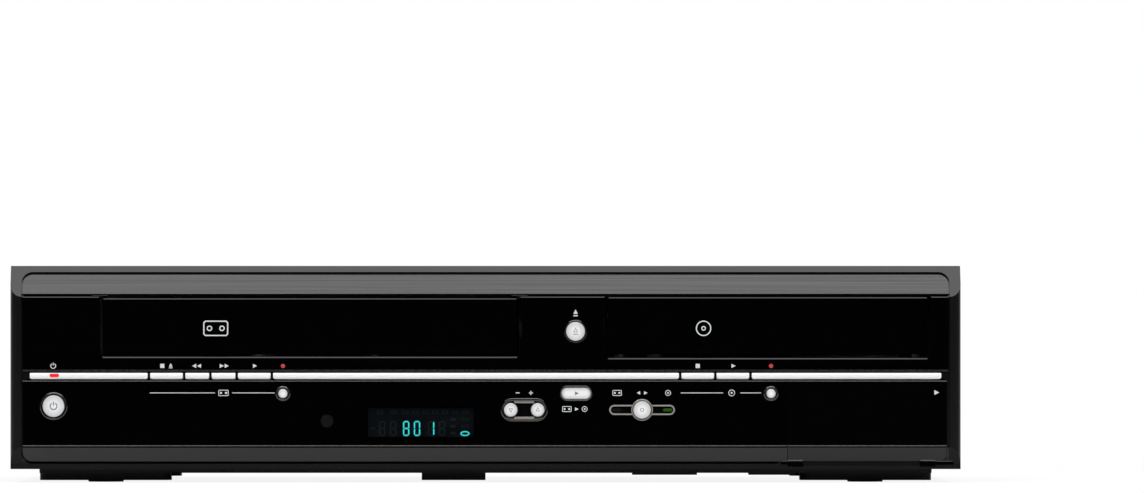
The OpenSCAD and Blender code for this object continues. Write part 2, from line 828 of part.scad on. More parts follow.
module brushed_band() {
  color([0.42, 0.42, 0.43]) on_front() intersection() {
    layer(0, band_t, -insert_x, insert_x);
    along_y(-cut, bezel_d) insert_outline(visor_z + band_gap, insert_z1);
  }
}

module upper_fascia() {
  color([0.02, 0.02, 0.025]) on_front() difference() {
    along_y(0, fascia_t) difference() {
      insert_outline(upper_z0, visor_z);
      slot_outline();
      tray_outline();
      span(slot_x1 - cut, slot_x1 + notch[0], notch_z, notch_z + notch[1]);
      translate(open_p) circle(d = open_ring_d);
    }
    rod_x([flap_axis_y, flap_axis_z], flap_pin_r + pin_gap,
          slot_x0 - flap_pin_l, slot_x1 + flap_pin_l);
    edge_x(-body_w, body_w, upper_z0, -1);
    edge_x(-body_w, body_w, visor_z, 1);
    rim_edges(slot_x0, slot_x1, slot_z0);
    rim_edges(tray_x0, tray_x1, tray_z0);
  }
}

module lower_fascia() {
  x1 = door_x0 - door_gap;
  color([0.02, 0.02, 0.025]) on_front() difference() {
    along_y(0, fascia_t) difference() {
      span(-insert_x, x1, lip_z, lower_z1);
      translate(power_p) circle(d = power_ring_d);
      for (p = [tape_record_p, disc_record_p]) translate(p) circle(d = record_ring_d);
      translate(channel_p) pill(channel_pill[0], channel_pill[1]);
      translate(dubbing_p) pill(dubbing_pill[0], dubbing_pill[1]);
      translate(select_p) pill(select_pill[0], select_pill[1]);
      translate(select_p) circle(d = select_ring_d);
      translate(window_p) rounded(window[0], window[1], opening_r);
      translate(receiver_p) circle(d = receiver_d);
    }
    edge_x(-body_w, body_w, lip_z, -1);
    edge_x(-body_w, body_w, lower_z1, 1);
    edge_z(base_z, top_z, x1, 1);
  }
}

// Piece of the half-round strip, as deep as asked
module strip_piece(x0, w, back) {
  intersection() {
    along_x(x0, x0 + w) union() {
      translate([strip_h / 2 - strip_proud, strip_z]) circle(strip_h / 2);
      span(strip_h / 2 - strip_proud, back, strip_z - strip_h / 2, strip_z + strip_h / 2);
    }
    along_y(-strip_h, back) translate([x0 + w / 2, strip_z]) rounded(w, strip_h, strip_corner_r);
  }
}

module chrome_strip() {
  color([0.85, 0.85, 0.86]) on_front() {
    difference() {
      strip_piece(strip_x0, left_bar, fascia_t);
      translate([strip_lens_p[0], 0, strip_lens_p[1]])
        along_y(-strip_h, fascia_t + cut) pill(lens[0], lens[1]);
    }
    strip_piece(middle_bar_x0, middle_bar_x1 - middle_bar_x0, fascia_t);
    strip_piece(strip_x1 - right_bar, right_bar, fascia_t);
  }
}

// Ring with a rounded front edge round a button
module key_ring(p, d_out, key_d) {
  r_out = d_out / 2 - fit;
  r_in = key_d / 2 + key_gap;
  bead = (r_out - r_in) / 2;
  translate([p[0], 0, p[1]]) rotate([90, 0, 0]) rotate_extrude() {
    translate([r_in, -fascia_t]) square([2 * bead, fascia_t + ring_proud - bead]);
    translate([r_in + bead, ring_proud - bead]) circle(bead);
  }
}

module button_rings() {
  hole = 2 * key_gap;
  color([0.6, 0.6, 0.62]) on_front() {
    key_ring(power_p, power_ring_d, power_d);
    key_ring(tape_record_p, record_ring_d, record_d);
    key_ring(disc_record_p, record_ring_d, record_d);
    key_ring(open_p, open_ring_d, open_d);
    key_ring(select_p, select_ring_d, select_d);
    translate([channel_p[0], 0, channel_p[1]]) difference() {
      along_y(-ring_proud / 2, fascia_t) difference() {
        pill(channel_pill[0] - 2 * fit, channel_pill[1] - 2 * fit);
        for (x = [-1, 1]) translate([x * channel_pitch / 2, 0]) circle(d = channel_d + hole);
      }
      along_y(-cut, pill_sink) square([channel_pitch - channel_d / 2, channel_d], center = true);
    }
    translate([dubbing_p[0], 0, dubbing_p[1]]) along_y(-ring_proud, fascia_t) difference() {
      pill(dubbing_pill[0] - 2 * fit, dubbing_pill[1] - 2 * fit);
      pill(dubbing_key[0] + hole, dubbing_key[1] + hole);
    }
    translate([select_p[0], 0, select_p[1]]) difference() {
      along_y(-ring_proud / 2, fascia_t) difference() {
        pill(select_pill[0] - 2 * fit, select_pill[1] - 2 * fit);
        circle(d = select_ring_d);
        for (x = [-1, 1]) translate([x * select_lens_x, 0]) pill(lens[0], lens[1]);
      }
      along_y(-cut, pill_sink) pill(select_pill[0] - 2 * pill_rim, select_pill[1] - 2 * pill_rim);
    }
  }
}

module display_window() {
  color([0.05, 0.06, 0.07]) on_front() translate([window_p[0], 0, window_p[1]])
    along_y(0, fascia_t) rounded(window[0] - 2 * fit, window[1] - 2 * fit, opening_r);
}

module indicator_lenses() {
  color([0.5, 0.05, 0.05]) on_front() {
    rod_y(receiver_p, receiver_d - 2 * fit, 0, fascia_t);
    for (p = lens_points)
      translate([p[0], 0, p[1]])
        along_y(p == strip_lens_p ? lens_sink - strip_proud : 0, fascia_t)
          pill(lens[0] - 2 * fit, lens[1] - 2 * fit);
  }
}

// Round button with a rounded front edge, a flange behind the plate and a stem to its switch
module round_key(p, d) {
  key_l = button_proud + plate_back;
  color([0.75, 0.75, 0.76]) on_front() {
    translate([p[0], plate_back, p[1]]) rotate([90, 0, 0]) rotate_extrude() {
      square([d / 2, key_l - key_edge]);
      square([d / 2 - key_edge, key_l]);
      translate([d / 2 - key_edge, key_l - key_edge]) circle(key_edge);
    }
    rod_y(p, d + 2 * key_flange, plate_back, plate_back + flange_t);
    rod_y(p, stem_d, plate_back, stem_end);
  }
}

// Button of the half-round strip, with flanges above and below
module strip_key(key) {
  x0 = key[0];
  w = key[1];
  half = strip_h / 2 + key_flange;
  color([0.85, 0.85, 0.86]) on_front() {
    strip_piece(x0, w, plate_back);
    block(x0, x0 + w, plate_back, plate_back + flange_t, strip_z - half, strip_z + half);
    rod_y([x0 + w / 2, strip_z], stem_d, plate_back, stem_end);
  }
}

module power_button() { round_key(power_p, power_d); }
module tape_record_button() { round_key(tape_record_p, record_d); }
module disc_record_button() { round_key(disc_record_p, record_d); }
module open_close_button() { round_key(open_p, open_d); }
module channel_down_button() { round_key(channel_down_p, channel_d); }
module channel_up_button() { round_key(channel_up_p, channel_d); }
module select_button() { round_key(select_p, select_d); }
module tape_stop_button() { strip_key(strip_keys[0]); }
module tape_rewind_button() { strip_key(strip_keys[1]); }
module tape_forward_button() { strip_key(strip_keys[2]); }
module tape_play_button() { strip_key(strip_keys[3]); }
module disc_stop_button() { strip_key(strip_keys[4]); }
module disc_play_button() { strip_key(strip_keys[5]); }

module dubbing_button() {
  rim = 2 * key_flange;
  color([0.75, 0.75, 0.76]) on_front() translate([dubbing_p[0], 0, dubbing_p[1]]) {
    along_y(-button_proud / 2, plate_back) pill(dubbing_key[0], dubbing_key[1]);
    along_y(plate_back, plate_back + flange_t) pill(dubbing_key[0] + rim, dubbing_key[1] + rim);
    along_y(plate_back, stem_end) circle(d = stem_d);
  }
}

// Flap with two upright score lines, humps on its upper edge, lugs above its ends and pivot pins
module cassette_flap() {
  x0 = slot_x0 + flap_end_gap;
  x1 = slot_x1 - flap_end_gap;
  z0 = slot_z0 + flap_low_gap;
  z1 = visor_z - flap_top_gap;
  reach = flap_end_gap + flap_pin_l - seam;
  color([0.02, 0.02, 0.025]) on_front() difference() {
    union() {
      difference() {
        block(x0, x1, plate_sink, flap_t, z0, z1);
        translate([0, plate_sink, 0]) plate_edges(x0, x1, z0, z1);
      }
      for (x = hump_x) along_y(plate_sink + edge_cut, flap_t) intersection() {
        translate([x0 + x, z1 + hump[1] - hump_r]) circle(hump_r);
        span(x0, x1, z1 - edge_cut, visor_z + cut);
      }
      for (x = [x0, x1 - lug_w]) along_x(x, x + lug_w) {
        translate([flap_axis_y, flap_axis_z]) circle(lug_r);
        span(flap_axis_y - lug_r, flap_axis_y + lug_r, z1 - lug_l, flap_axis_z);
      }
      rod_x([flap_axis_y, flap_axis_z], flap_pin_r, x0 - reach, x0 + lug_w);
      rod_x([flap_axis_y, flap_axis_z], flap_pin_r, x1 - lug_w, x1 + reach);
    }
    for (x = [x0 + score_in, x1 - score_in])
      block(x - score_w / 2, x + score_w / 2, -cut, plate_sink + score_depth,
            z0 + score_end, z1 - score_end);
  }
}

module tray_front() {
  w = tray_slot_w - 2 * tray_end_gap;
  z0 = tray_z0 + tray_low_gap;
  z1 = visor_z - seam;
  color([0.02, 0.02, 0.025]) on_front() difference() {
    translate([tray_mid, 0, (z0 + z1) / 2])
      along_y(plate_sink, tray_front_t) rounded(w, z1 - z0, opening_r);
    translate([0, plate_sink, 0]) plate_edges(tray_mid - w / 2, tray_mid + w / 2, z0, z1);
  }
}

// Rack profile: straight flanks along Y, teeth towards +X, one tooth opposite the pinion
module rack_outline() {
  pitch = PI * gear_m;
  half = (pitch - backlash) / 4;
  tip = half - gear_m * tan(20);
  root = half + 1.25 * gear_m * tan(20);
  x_tip = rack_pitch_x + gear_m;
  x_root = rack_pitch_x - 1.25 * gear_m;
  first = ceil((tray_front_t + pitch - pinion_y) / pitch);
  last = floor((tray_front_t + tray_l - pitch - pinion_y) / pitch);
  teeth = [for (i = [first:last], q = [[x_root, -root], [x_tip, -tip], [x_tip, tip], [x_root, root]])
           [q[0], pinion_y + i * pitch + q[1]]];
  polygon(concat([[rack_x0, tray_front_t], [x_root, tray_front_t]], teeth,
                 [[x_root, tray_front_t + tray_l], [rack_x0, tray_front_t + tray_l]]));
}

// Tray with its stepped disc well, the slot for hub and pickup, and the rack under its left edge
module disc_tray() {
  color([0.06, 0.06, 0.065]) on_front() {
    difference() {
      block(tray_mid - tray_w / 2, tray_mid + tray_w / 2, tray_front_t, tray_front_t + tray_l,
            tray_bottom, tray_top);
      translate([tray_mid, disc_y, tray_top - well_step]) cylinder(r = disc_r, h = tray_t, $fn = 120);
      translate([tray_mid, disc_y, tray_top - 2 * well_step])
        cylinder(r = small_disc_r, h = tray_t, $fn = 96);
      translate([tray_mid, disc_y + hub_slot[1] / 2 - hub_slot[0] / 2, tray_bottom - cut])
        linear_extrude(tray_t + 2 * cut) rotate(90) pill(hub_slot[1], hub_slot[0]);
      for (x = [-1, 1], y = [-1, 1])
        translate([tray_mid + x * grip_x, disc_y + y * grip_y, tray_bottom + tray_t / 4])
          cylinder(d = grip_d, h = tray_t);
    }
    translate([0, 0, tray_bottom - rack_h]) linear_extrude(rack_h + fit) rack_outline();
  }
}

// Angle at which an involute flank stands off the tooth's middle at radius r
function involute(a) = tan(a) - a * PI / 180;
function flank(r, base, half) = (half + involute(20) - involute(acos(min(1, base / r)))) * 180 / PI;

// Pinion outline with a tooth gap facing -X
module pinion_outline() {
  pitch_r = gear_m * pinion_teeth / 2;
  base = pitch_r * cos(20);
  tip = pitch_r + gear_m;
  root = pitch_r - 1.25 * gear_m;
  half = (PI * gear_m - backlash) / 4 / pitch_r;
  rises = [base, (base + tip) / 2, tip];
  side = concat([[root, flank(base, base, half)]], [for (r = rises) [r, flank(r, base, half)]]);
  step = 360 / pinion_teeth;
  function spot(r, a) = [r * cos(a), r * sin(a)];
  polygon([for (i = [0:pinion_teeth - 1])
           each concat([for (q = side) spot(q[0], (i + 0.5) * step - q[1] + 180)],
                       [for (k = [3:-1:0]) spot(side[k][0], (i + 0.5) * step + side[k][1] + 180)])]);
}

module loader_pinion() {
  color([0.9, 0.9, 0.85]) on_front() translate([pinion_x, pinion_y, tray_bottom - rack_h])
    linear_extrude(rack_h - guide_gap) difference() {
      pinion_outline();
      circle(d = post_d + 2 * shaft_gap);
    }
}

// Loader frame: floor, side walls with guide ledges, a front shelf with the pinion's post, and pickup rods
module loader_frame() {
  inner = tray_w / 2 + guide_gap;
  outer = inner + loader_wall;
  floor_z = loader_z0 + loader_wall;
  shelf_top = shelf_z + loader_wall;
  color([0.25, 0.25, 0.26]) on_front() {
    difference() {
      block(tray_mid - outer, tray_mid + outer, shelf_y, loader_y1, loader_z0, floor_z);
      translate([tray_mid, disc_y, loader_z0 - cut])
        cylinder(d = motor_d - 4, h = loader_wall + 2 * cut);
      block(tray_mid - rod_pitch / 2 + 6, tray_mid + rod_pitch / 2 - 6, rod_y0 + 8, rod_y1 - 8,
            loader_z0 - cut, floor_z + cut);
    }
    block(tray_mid - outer, tray_mid + outer, loader_y0, loader_y0 + shelf_d, shelf_z, shelf_top);
    for (side = [-1, 1]) translate([tray_mid, 0, 0]) {
      x0 = side > 0 ? inner : -outer;
      block(x0, x0 + loader_wall, loader_y0, loader_y1, shelf_z, loader_z1);
      block(x0, x0 + loader_wall, shelf_y, loader_y1, loader_z0, shelf_top);
      for (z = [tray_bottom - guide_gap - ledge_h, tray_top + guide_gap])
        block(side > 0 ? inner - ledge_w : -inner - fit, side > 0 ? inner + fit : -inner + ledge_w,
              loader_y0, loader_y1, z, z + ledge_h);
      translate([side * rod_pitch / 2, 0, rod_z]) along_y(rod_y0, rod_y1) circle(d = rod_d);
    }
    for (y = [rod_y0, rod_y1 - loader_wall])
      block(tray_mid - rod_pitch / 2 - rod_d, tray_mid + rod_pitch / 2 + rod_d, y, y + loader_wall,
            floor_z - fit, rod_z + rod_d);
    translate([pinion_x, pinion_y, shelf_top - fit])
      cylinder(d = post_d + 3, h = tray_bottom - rack_h - guide_gap - shelf_top + fit);
    translate([pinion_x, pinion_y, shelf_top - fit])
      cylinder(d = post_d, h = tray_bottom - guide_gap - shelf_top);
  }
}

module spindle_motor() {
  color([0.7, 0.7, 0.72]) on_front() translate([tray_mid, disc_y, loader_z0 + loader_wall]) difference() {
    cylinder(d = motor_d, h = motor_h);
    translate([0, 0, cut]) cylinder(d = spindle_d + 2 * shaft_gap, h = motor_h);
  }
}

// Turntable with a tapered hub and its spindle
module disc_turntable() {
  z0 = loader_z0 + loader_wall + motor_h + guide_gap;
  color([0.12, 0.12, 0.12]) on_front() translate([tray_mid, disc_y, z0]) {
    cylinder(d = motor_d, h = table_t);
    translate([0, 0, table_t - fit])
      cylinder(d1 = hub_d, d2 = hub_d - 2, h = tray_bottom - guide_gap - z0 - table_t + fit);
    translate([0, 0, cut + guide_gap - motor_h]) cylinder(d = spindle_d, h = motor_h);
  }
}

// Pickup sled with two rod bores and its lens
module optical_pickup() {
  color([0.15, 0.15, 0.16]) on_front() difference() {
    union() {
      translate([tray_mid, sled_y0, rod_z])
        along_y(0, sled_d) square([rod_pitch + 2 * rod_d, 2 * rod_d], center = true);
      translate([tray_mid, sled_y0 + sled_d / 2, rod_z]) cylinder(d = 12, h = rod_d + 1);
      translate([tray_mid, sled_y0 + sled_d / 2, rod_z]) cylinder(d = 6, h = rod_d + 2);
    }
    for (x = [-1, 1])
      translate([tray_mid + x * rod_pitch / 2, 0, rod_z])
        along_y(sled_y0 - cut, sled_y0 + sled_d + cut) circle(d = rod_d + 2 * shaft_gap);
  }
}

// Clamp bridge over the tray, with the loose puck that holds the disc
module clamp_bridge() {
  outer = tray_w / 2 + guide_gap + loader_wall;
  color([0.72, 0.72, 0.74]) on_front() {
    difference() {
      block(tray_mid - outer, tray_mid + outer, disc_y - bridge_d / 2, disc_y + bridge_d / 2,
            loader_z1, loader_z1 + sheet_t);
      translate([tray_mid, disc_y, loader_z1 - cut]) cylinder(d = puck_d + 2, h = sheet_t + 2 * cut);
    }
    translate([tray_mid, disc_y, loader_z1 - puck_drop])
      cylinder(d = puck_d, h = puck_drop + sheet_t + fit);
    translate([tray_mid, disc_y, loader_z1 + sheet_t]) cylinder(d = puck_d + 6, h = 1.5);
  }
}

// Door with its own piece of the lip, two hinge barrels and pivot pins
module av_door() {
  color([0.02, 0.02, 0.025]) on_front() {
    difference() {
      intersection() {
        layer(0, door_t, door_x0, door_x1);
        block(door_x0, door_x1, -cut, bezel_d, door_axis_z, lower_z1);
      }
      edge_x(door_x0 - cut, door_x1 + cut, lower_z1, 1);
      for (side = [-1, 1]) edge_z(lip_z, top_z, side > 0 ? door_x1 : door_x0, side);
      along_x(door_x0 - cut, door_x1 + cut) polygon([
        [-cut, lip_z + edge_cut + cut], [edge_cut, lip_z],
        [edge_cut, lip_z - seam], [-cut, lip_z - seam]]);
    }
    for (x = [door_x0, door_x1 - barrel_in - barrel_l])
      rod_x([door_axis_y, door_axis_z], door_barrel_r, x, x + barrel_l);
    rod_x([door_axis_y, door_axis_z], door_pin_r, door_x0 - door_pin_l, door_x0 + cut);
    rod_x([door_axis_y, door_axis_z], door_pin_r, door_x1 - barrel_in - cut, door_x1 + door_pin_l);
  }
}

// Deck plate: sheet with upright side flanges, reel posts and the capstan bearing
module deck_plate() {
  color([0.7, 0.7, 0.72]) on_front() difference() {
    union() {
      block(slot_mid - flange_x - sheet_t, slot_mid + flange_x + sheet_t, deck_y0, deck_y1,
            deck_z, deck_top);
      for (x = [slot_mid - flange_x - sheet_t, slot_mid + flange_x])
        block(x, x + sheet_t, lift_y0 + 6, lift_y1 - 2, deck_z, lift_stud_z + stud_d);
      for (x = [-1, 1])
        translate([slot_mid + x * reel_pitch / 2, reel_y, deck_z])
          cylinder(d = post_d, h = reel_h + 2);
      translate([capstan_p[0], capstan_p[1], deck_z]) cylinder(d = 10, h = bearing_h);
    }
    for (y = lift_stud_y)
      translate([slot_mid, y, lift_stud_z - lift_travel / 2])
        along_x(-flange_x - 2 * sheet_t, flange_x + 2 * sheet_t)
          rotate(90) pill(lift_travel + stud_d + 2 * stud_gap, stud_d + 2 * stud_gap);
    translate([capstan_p[0], capstan_p[1], deck_z - cut])
      cylinder(d = spindle_d + 2 * shaft_gap, h = bearing_h + 2 * cut);
  }
}

// Places what leans with the head drum's axis
module on_drum() {
  translate([slot_mid, drum_y, deck_top]) rotate([-drum_tilt, 0, 0]) children();
}

module lower_drum() {
  color([0.75, 0.75, 0.77]) on_front() difference() {
    on_drum() translate([0, 0, -drum_d]) cylinder(d = drum_d, h = drum_d + lower_drum_h, $fn = 96);
    on_drum() translate([0, 0, lower_drum_h - shaft_l])
      cylinder(d = drum_shaft_d + 2 * shaft_gap, h = shaft_l + cut);
    translate([slot_mid - drum_d, drum_y - drum_d, deck_top - 2 * drum_d]) cube(2 * drum_d);
  }
}

module head_drum() {
  color([0.82, 0.82, 0.84]) on_front() on_drum() {
    translate([0, 0, lower_drum_h + guide_gap]) difference() {
      cylinder(d = drum_d, h = head_drum_h, $fn = 96);
      for (a = [0, 180]) rotate(a) translate([drum_d / 2, 0, 0]) cylinder(d = 4, h = 3, center = true);
      translate([0, 0, head_drum_h - 3]) difference() {
        cylinder(d = drum_d - 8, h = 4, $fn = 96);
        cylinder(d = 20, h = 4);
      }
    }
    translate([0, 0, lower_drum_h - shaft_l + cut]) cylinder(d = drum_shaft_d, h = shaft_l);
  }
}

// Reel table with six drive ribs, running on its post
module reel(x) {
  color([0.1, 0.1, 0.1]) on_front() translate([x, reel_y, deck_top + guide_gap]) difference() {
    union() {
      cylinder(r = reel_r, h = reel_t, $fn = 96);
      cylinder(d = reel_hub_d, h = reel_h - 4);
      for (a = [0:60:300]) rotate(a) block(0, reel_hub_d / 2 + 2, -0.8, 0.8, 0, reel_h - 6);
    }
    translate([0, 0, -cut]) cylinder(d = post_d + 2 * shaft_gap, h = reel_h + 2 * cut);
  }
}

module supply_reel() { reel(slot_mid - reel_pitch / 2); }
module takeup_reel() { reel(slot_mid + reel_pitch / 2); }

module capstan() {
  color([0.8, 0.8, 0.82]) on_front() translate([capstan_p[0], capstan_p[1], deck_z]) {
    translate([0, 0, -flywheel_t - guide_gap]) cylinder(d = flywheel_d, h = flywheel_t, $fn = 96);
    translate([0, 0, -guide_gap - cut]) cylinder(d = spindle_d, h = capstan_l);
  }
}

// Lift plates: two side plates with slots and studs, joined by a bridge over the holder
module lift_plates() {
  color([0.68, 0.68, 0.7]) on_front() {
    difference() {
      union() {
        for (x = [slot_mid - lift_x - sheet_t, slot_mid + lift_x])
          block(x, x + sheet_t, lift_y0, lift_y1, lift_z0, holder_z1 + stud_gap + sheet_t);
        block(slot_mid - lift_x - sheet_t, slot_mid + lift_x + sheet_t, lift_y1 - bridge_w, lift_y1,
              holder_z1 + stud_gap, holder_z1 + stud_gap + sheet_t);
      }
      for (y = holder_stud_y)
        translate([slot_mid, y + holder_travel / 2, holder_stud_z])
          along_x(-lift_x - 2 * sheet_t, lift_x + 2 * sheet_t)
            pill(holder_travel + stud_d + 2 * stud_gap, stud_d + 2 * stud_gap);
    }
    for (y = lift_stud_y, x = [slot_mid - flange_x - sheet_t, slot_mid + lift_x])
      rod_x([y, lift_stud_z], stud_d / 2, x, x + flange_x + sheet_t - lift_x);
  }
}

// Cassette holder: top with cut-outs, sides, ledges under the cassette, and studs
module cassette_holder() {
  y1 = holder_y0 + holder_d;
  color([0.66, 0.66, 0.68]) on_front() {
    difference() {
      block(slot_mid - holder_x, slot_mid + holder_x, holder_y0, y1, holder_z0, holder_z1);
      block(slot_mid - holder_in, slot_mid + holder_in, holder_y0 - cut, y1 + cut,
            slot_z0, holder_z1 - sheet_t);
      block(slot_mid - holder_in + ledge_in, slot_mid + holder_in - ledge_in,
            holder_y0 - cut, y1 + cut, holder_z0 - cut, slot_z0 + cut);
      for (x = [-1, 0, 1])
        translate([slot_mid + x * window_pitch, holder_y0 + holder_d / 2, holder_z1 - 2 * sheet_t])
          linear_extrude(3 * sheet_t) rounded(window_pitch - 22, holder_d - 50, 6);
    }
    for (y = holder_stud_y, x = [slot_mid - lift_x - sheet_t, slot_mid + holder_x])
      rod_x([y, holder_stud_z], stud_d / 2, x, x + lift_x + sheet_t - holder_x);
  }
}

module front_board() {
  color([0.05, 0.3, 0.12]) on_front() along_y(board_y, board_y + board_t) {
    span(power_p[0] - switch[0], door_x0 - 5, lip_z + 4, board_top_z);
    span(open_p[0] - 9, open_p[0] + 9, lip_z + 4, open_p[1] + 8);
  }
}

module tact_switches() {
  color([0.15, 0.15, 0.15]) on_front() for (p = switch_points) {
    translate([p[0], 0, p[1]]) along_y(board_y - switch[1], board_y) square(switch[0], center = true);
    rod_y(p, stem_d, board_y - switch[1] - plunger_l, board_y - switch[1]);
  }
}

// Fluorescent display tube on its holder
module tube_display() {
  color([0.1, 0.14, 0.14]) on_front() translate([window_p[0], 0, window_p[1]]) {
    along_y(plate_back + 0.5, board_y - 1) square(window + [2, 2], center = true);
    along_y(board_y - 1, board_y) square(window - [8, 6], center = true);
  }
}

// Recessed panel behind the door: a tray-shaped moulding with holes for the jacks
module av_input_panel() {
  color([0.08, 0.08, 0.085]) on_front() difference() {
    block(door_x0, door_x1, 0, recess_d + recess_wall, recess_z0 - recess_wall, recess_z1 + recess_wall);
    block(door_x0 + recess_wall, door_x1 - recess_wall, -cut, recess_d, recess_z0, recess_z1);
    layer(-bezel_d, plate_back, door_x0 - cut, door_x1 + cut);
    block(door_x0 - cut, door_x1 + cut, -cut, door_relief_y, base_z, lip_z);
    for (p = input_points) rod_y(p, input_hole_d, recess_d - cut, recess_d + recess_wall + cut);
  }
}

// Row of input jacks: open sleeves on a common block behind the panel
module av_input_jacks() {
  color([0.8, 0.75, 0.2]) on_front() {
    translate([door_mid, recess_d + recess_wall, input_points[0][1]])
      along_y(0, input_block[1]) square([input_block[0], input_block[2]], center = true);
    for (p = input_points) difference() {
      rod_y(p, sleeve_d, recess_d - input_proud, recess_d + recess_wall + fit);
      rod_y(p, sleeve_bore, recess_d - input_proud - cut, recess_d - cut);
    }
  }
}

// Part that stands on a board, as width, depth and height, or as diameter and height
module on_board(x, y, part) {
  translate([x, y, part_z - fit])
    if (len(part) == 3) cube(part + [0, 0, fit]);
    else cylinder(d = part[0], h = part[1] + fit);
}

// Main board with its shielded processor, connectors and capacitors
module main_board() {
  color([0.06, 0.32, 0.14]) on_front() difference() {
    union() {
      block(main_x0, main_x1, deck_y0, loader_y1 + 2, board_z, part_z);
      block(main_x0, power_x0 - 4, deck_y0, body_d - sheet_t - 4, board_z, part_z);
      on_board(main_x0 + shield_at[0], deck_y0 + shield_at[1], shield);
      on_board(main_x0 + processor_at[0], deck_y0 + processor_at[1], processor);
      on_board(main_x0 + header_at[0], deck_y0 + header_at[1], header);
      for (x = small_cap_x) on_board(main_x0 + x * main_w, deck_y0 + small_cap_y, small_cap);
    }
    for (p = loader_posts)
      translate([p[0], p[1], board_z - cut]) cylinder(d = post_foot_d + 2, h = board_t + 2 * cut);
  }
}

// Power board with its transformer and capacitors
module power_board() {
  color([0.3, 0.22, 0.08]) on_front() {
    block(power_x0, main_x1, power_y0, body_d - sheet_t - 4, board_z, part_z);
    on_board(power_x0 + transformer_at[0], power_y0 + transformer_at[1], transformer);
    on_board(power_x0 + core_at[0], power_y0 + core_at[1], core);
    on_board(main_x1 - mains_cap_at[0], power_y0 + mains_cap_at[1], mains_cap);
    for (p = tall_cap_at) on_board(main_x1 - p[0], power_y0 + p[1], tall_cap);
  }
}

// Finned heat sink that stands on the power board
module heat_sink() {
  color([0.6, 0.6, 0.62]) on_front() translate([power_x0 + sink_at[0], power_y0 + sink_at[1], part_z]) {
    cube(sink);
    for (i = [0:fin_count - 1]) translate([fin_pitch * i, 0, 0]) cube([fin[0], fin[1], sink[2]]);
  }
}

// Outline of a scart opening, with its one slanted corner
module scart_outline(grow) {
  w = scart[0] / 2 + grow;
  h = scart[1] / 2 + grow;
  polygon([[-w, -h], [w, -h], [w, h], [scart_corner - w, h], [-w, h - scart_corner]]);
}

module scart_sockets() {
  y0 = body_d - scart_body;
  color([0.12, 0.12, 0.13]) on_front() for (z = scart_z) translate([scart_x, 0, z]) difference() {
    union() {
      along_y(y0, body_d + scart_proud) scart_outline(scart_wall);
      along_y(y0, body_d - sheet_t) scart_outline(scart_wall + scart_flange);
      block(-scart_foot[0] / 2, scart_foot[0] / 2, y0, y0 + scart_foot[1],
            (z == scart_z[0] ? part_z : scart_z[0]) - z, 0);
    }
    along_y(body_d + scart_proud - scart_depth, body_d + scart_proud + cut) scart_outline(0);
  }
}

// Two rows of phono jacks on one moulded block
module phono_jacks() {
  color([0.8, 0.8, 0.82]) on_front() {
    translate([phono_x - phono_block[0] / 2, body_d - sheet_t - phono_block[1], part_z])
      cube([phono_block[0], phono_block[1], phono_z[1] + sleeve_d - part_z]);
    for (p = phono_points) difference() {
      union() {
        rod_y(p, sleeve_d, body_d - 2 * sheet_t, body_d + jack_proud);
        rod_y(p, sleeve_d + phono_flange, body_d - sheet_t - fit, body_d + sheet_t);
      }
      rod_y(p, sleeve_bore, body_d + sheet_t, body_d + jack_proud + cut);
    }
  }
}

// Tuner can with two aerial sockets
module tuner() {
  color([0.78, 0.78, 0.8]) on_front() {
    translate([tuner_x - tuner[0] / 2, body_d - sheet_t - tuner[1], tuner_z0]) cube(tuner);
    for (p = aerial_points) {
      difference() {
        rod_y(p, aerial_d, body_d - 2 * sheet_t, body_d + jack_proud);
        rod_y(p, aerial_d - 2 * aerial_wall, body_d + sheet_t, body_d + jack_proud + cut);
      }
      rod_y(p, aerial_pin_d, body_d, body_d + jack_proud - cut);
    }
  }
}

// Mains inlet of the figure-eight kind, with two pins
module mains_inlet() {
  y0 = body_d - inlet_body;
  grow = 2 * inlet_wall;
  color([0.06, 0.06, 0.06]) on_front() translate([inlet_p[0], 0, inlet_p[1]]) {
    difference() {
      union() {
        along_y(y0, body_d) square([inlet[0] + grow, inlet[1] + grow], center = true);
        along_y(body_d, body_d + inlet_flange[2])
          rounded(inlet[0] + inlet_flange[0], inlet[1] + inlet_flange[1], 2);
        block(-inlet_foot[0] / 2, inlet_foot[0] / 2, y0, y0 + inlet_foot[1], part_z - inlet_p[1], 0);
      }
      along_y(body_d - inlet_depth, body_d + inlet_flange[2] + cut) pill(inlet[0], inlet[1]);
    }
    for (x = [-1, 1])
      rod_y([x * inlet_pin[1], 0], inlet_pin[0], body_d - inlet_depth - cut, body_d - inlet_wall);
  }
}

module fan_frame() {
  back = fan_y0 + fan_back_t;
  color([0.05, 0.05, 0.05]) on_front() translate([fan_p[0], 0, fan_p[1]]) {
    along_y(fan_y0, body_d - sheet_t) difference() {
      rounded(fan_w, fan_w, 3);
      circle(d = fan_bore);
      for (x = [-1, 1], z = [-1, 1])
        translate([x, z] * (fan_w / 2 - fan_hole_in)) circle(d = fan_hole_d);
    }
    for (a = [90, 210, 330]) rotate([0, a, 0])
      block(0, fan_bore / 2 + fit, fan_y0, back, -fan_back_t, fan_back_t);
    along_y(fan_y0, back) circle(d = fan_hub_d);
    along_y(fan_y0, body_d - 5 * sheet_t) circle(d = post_d);
  }
}

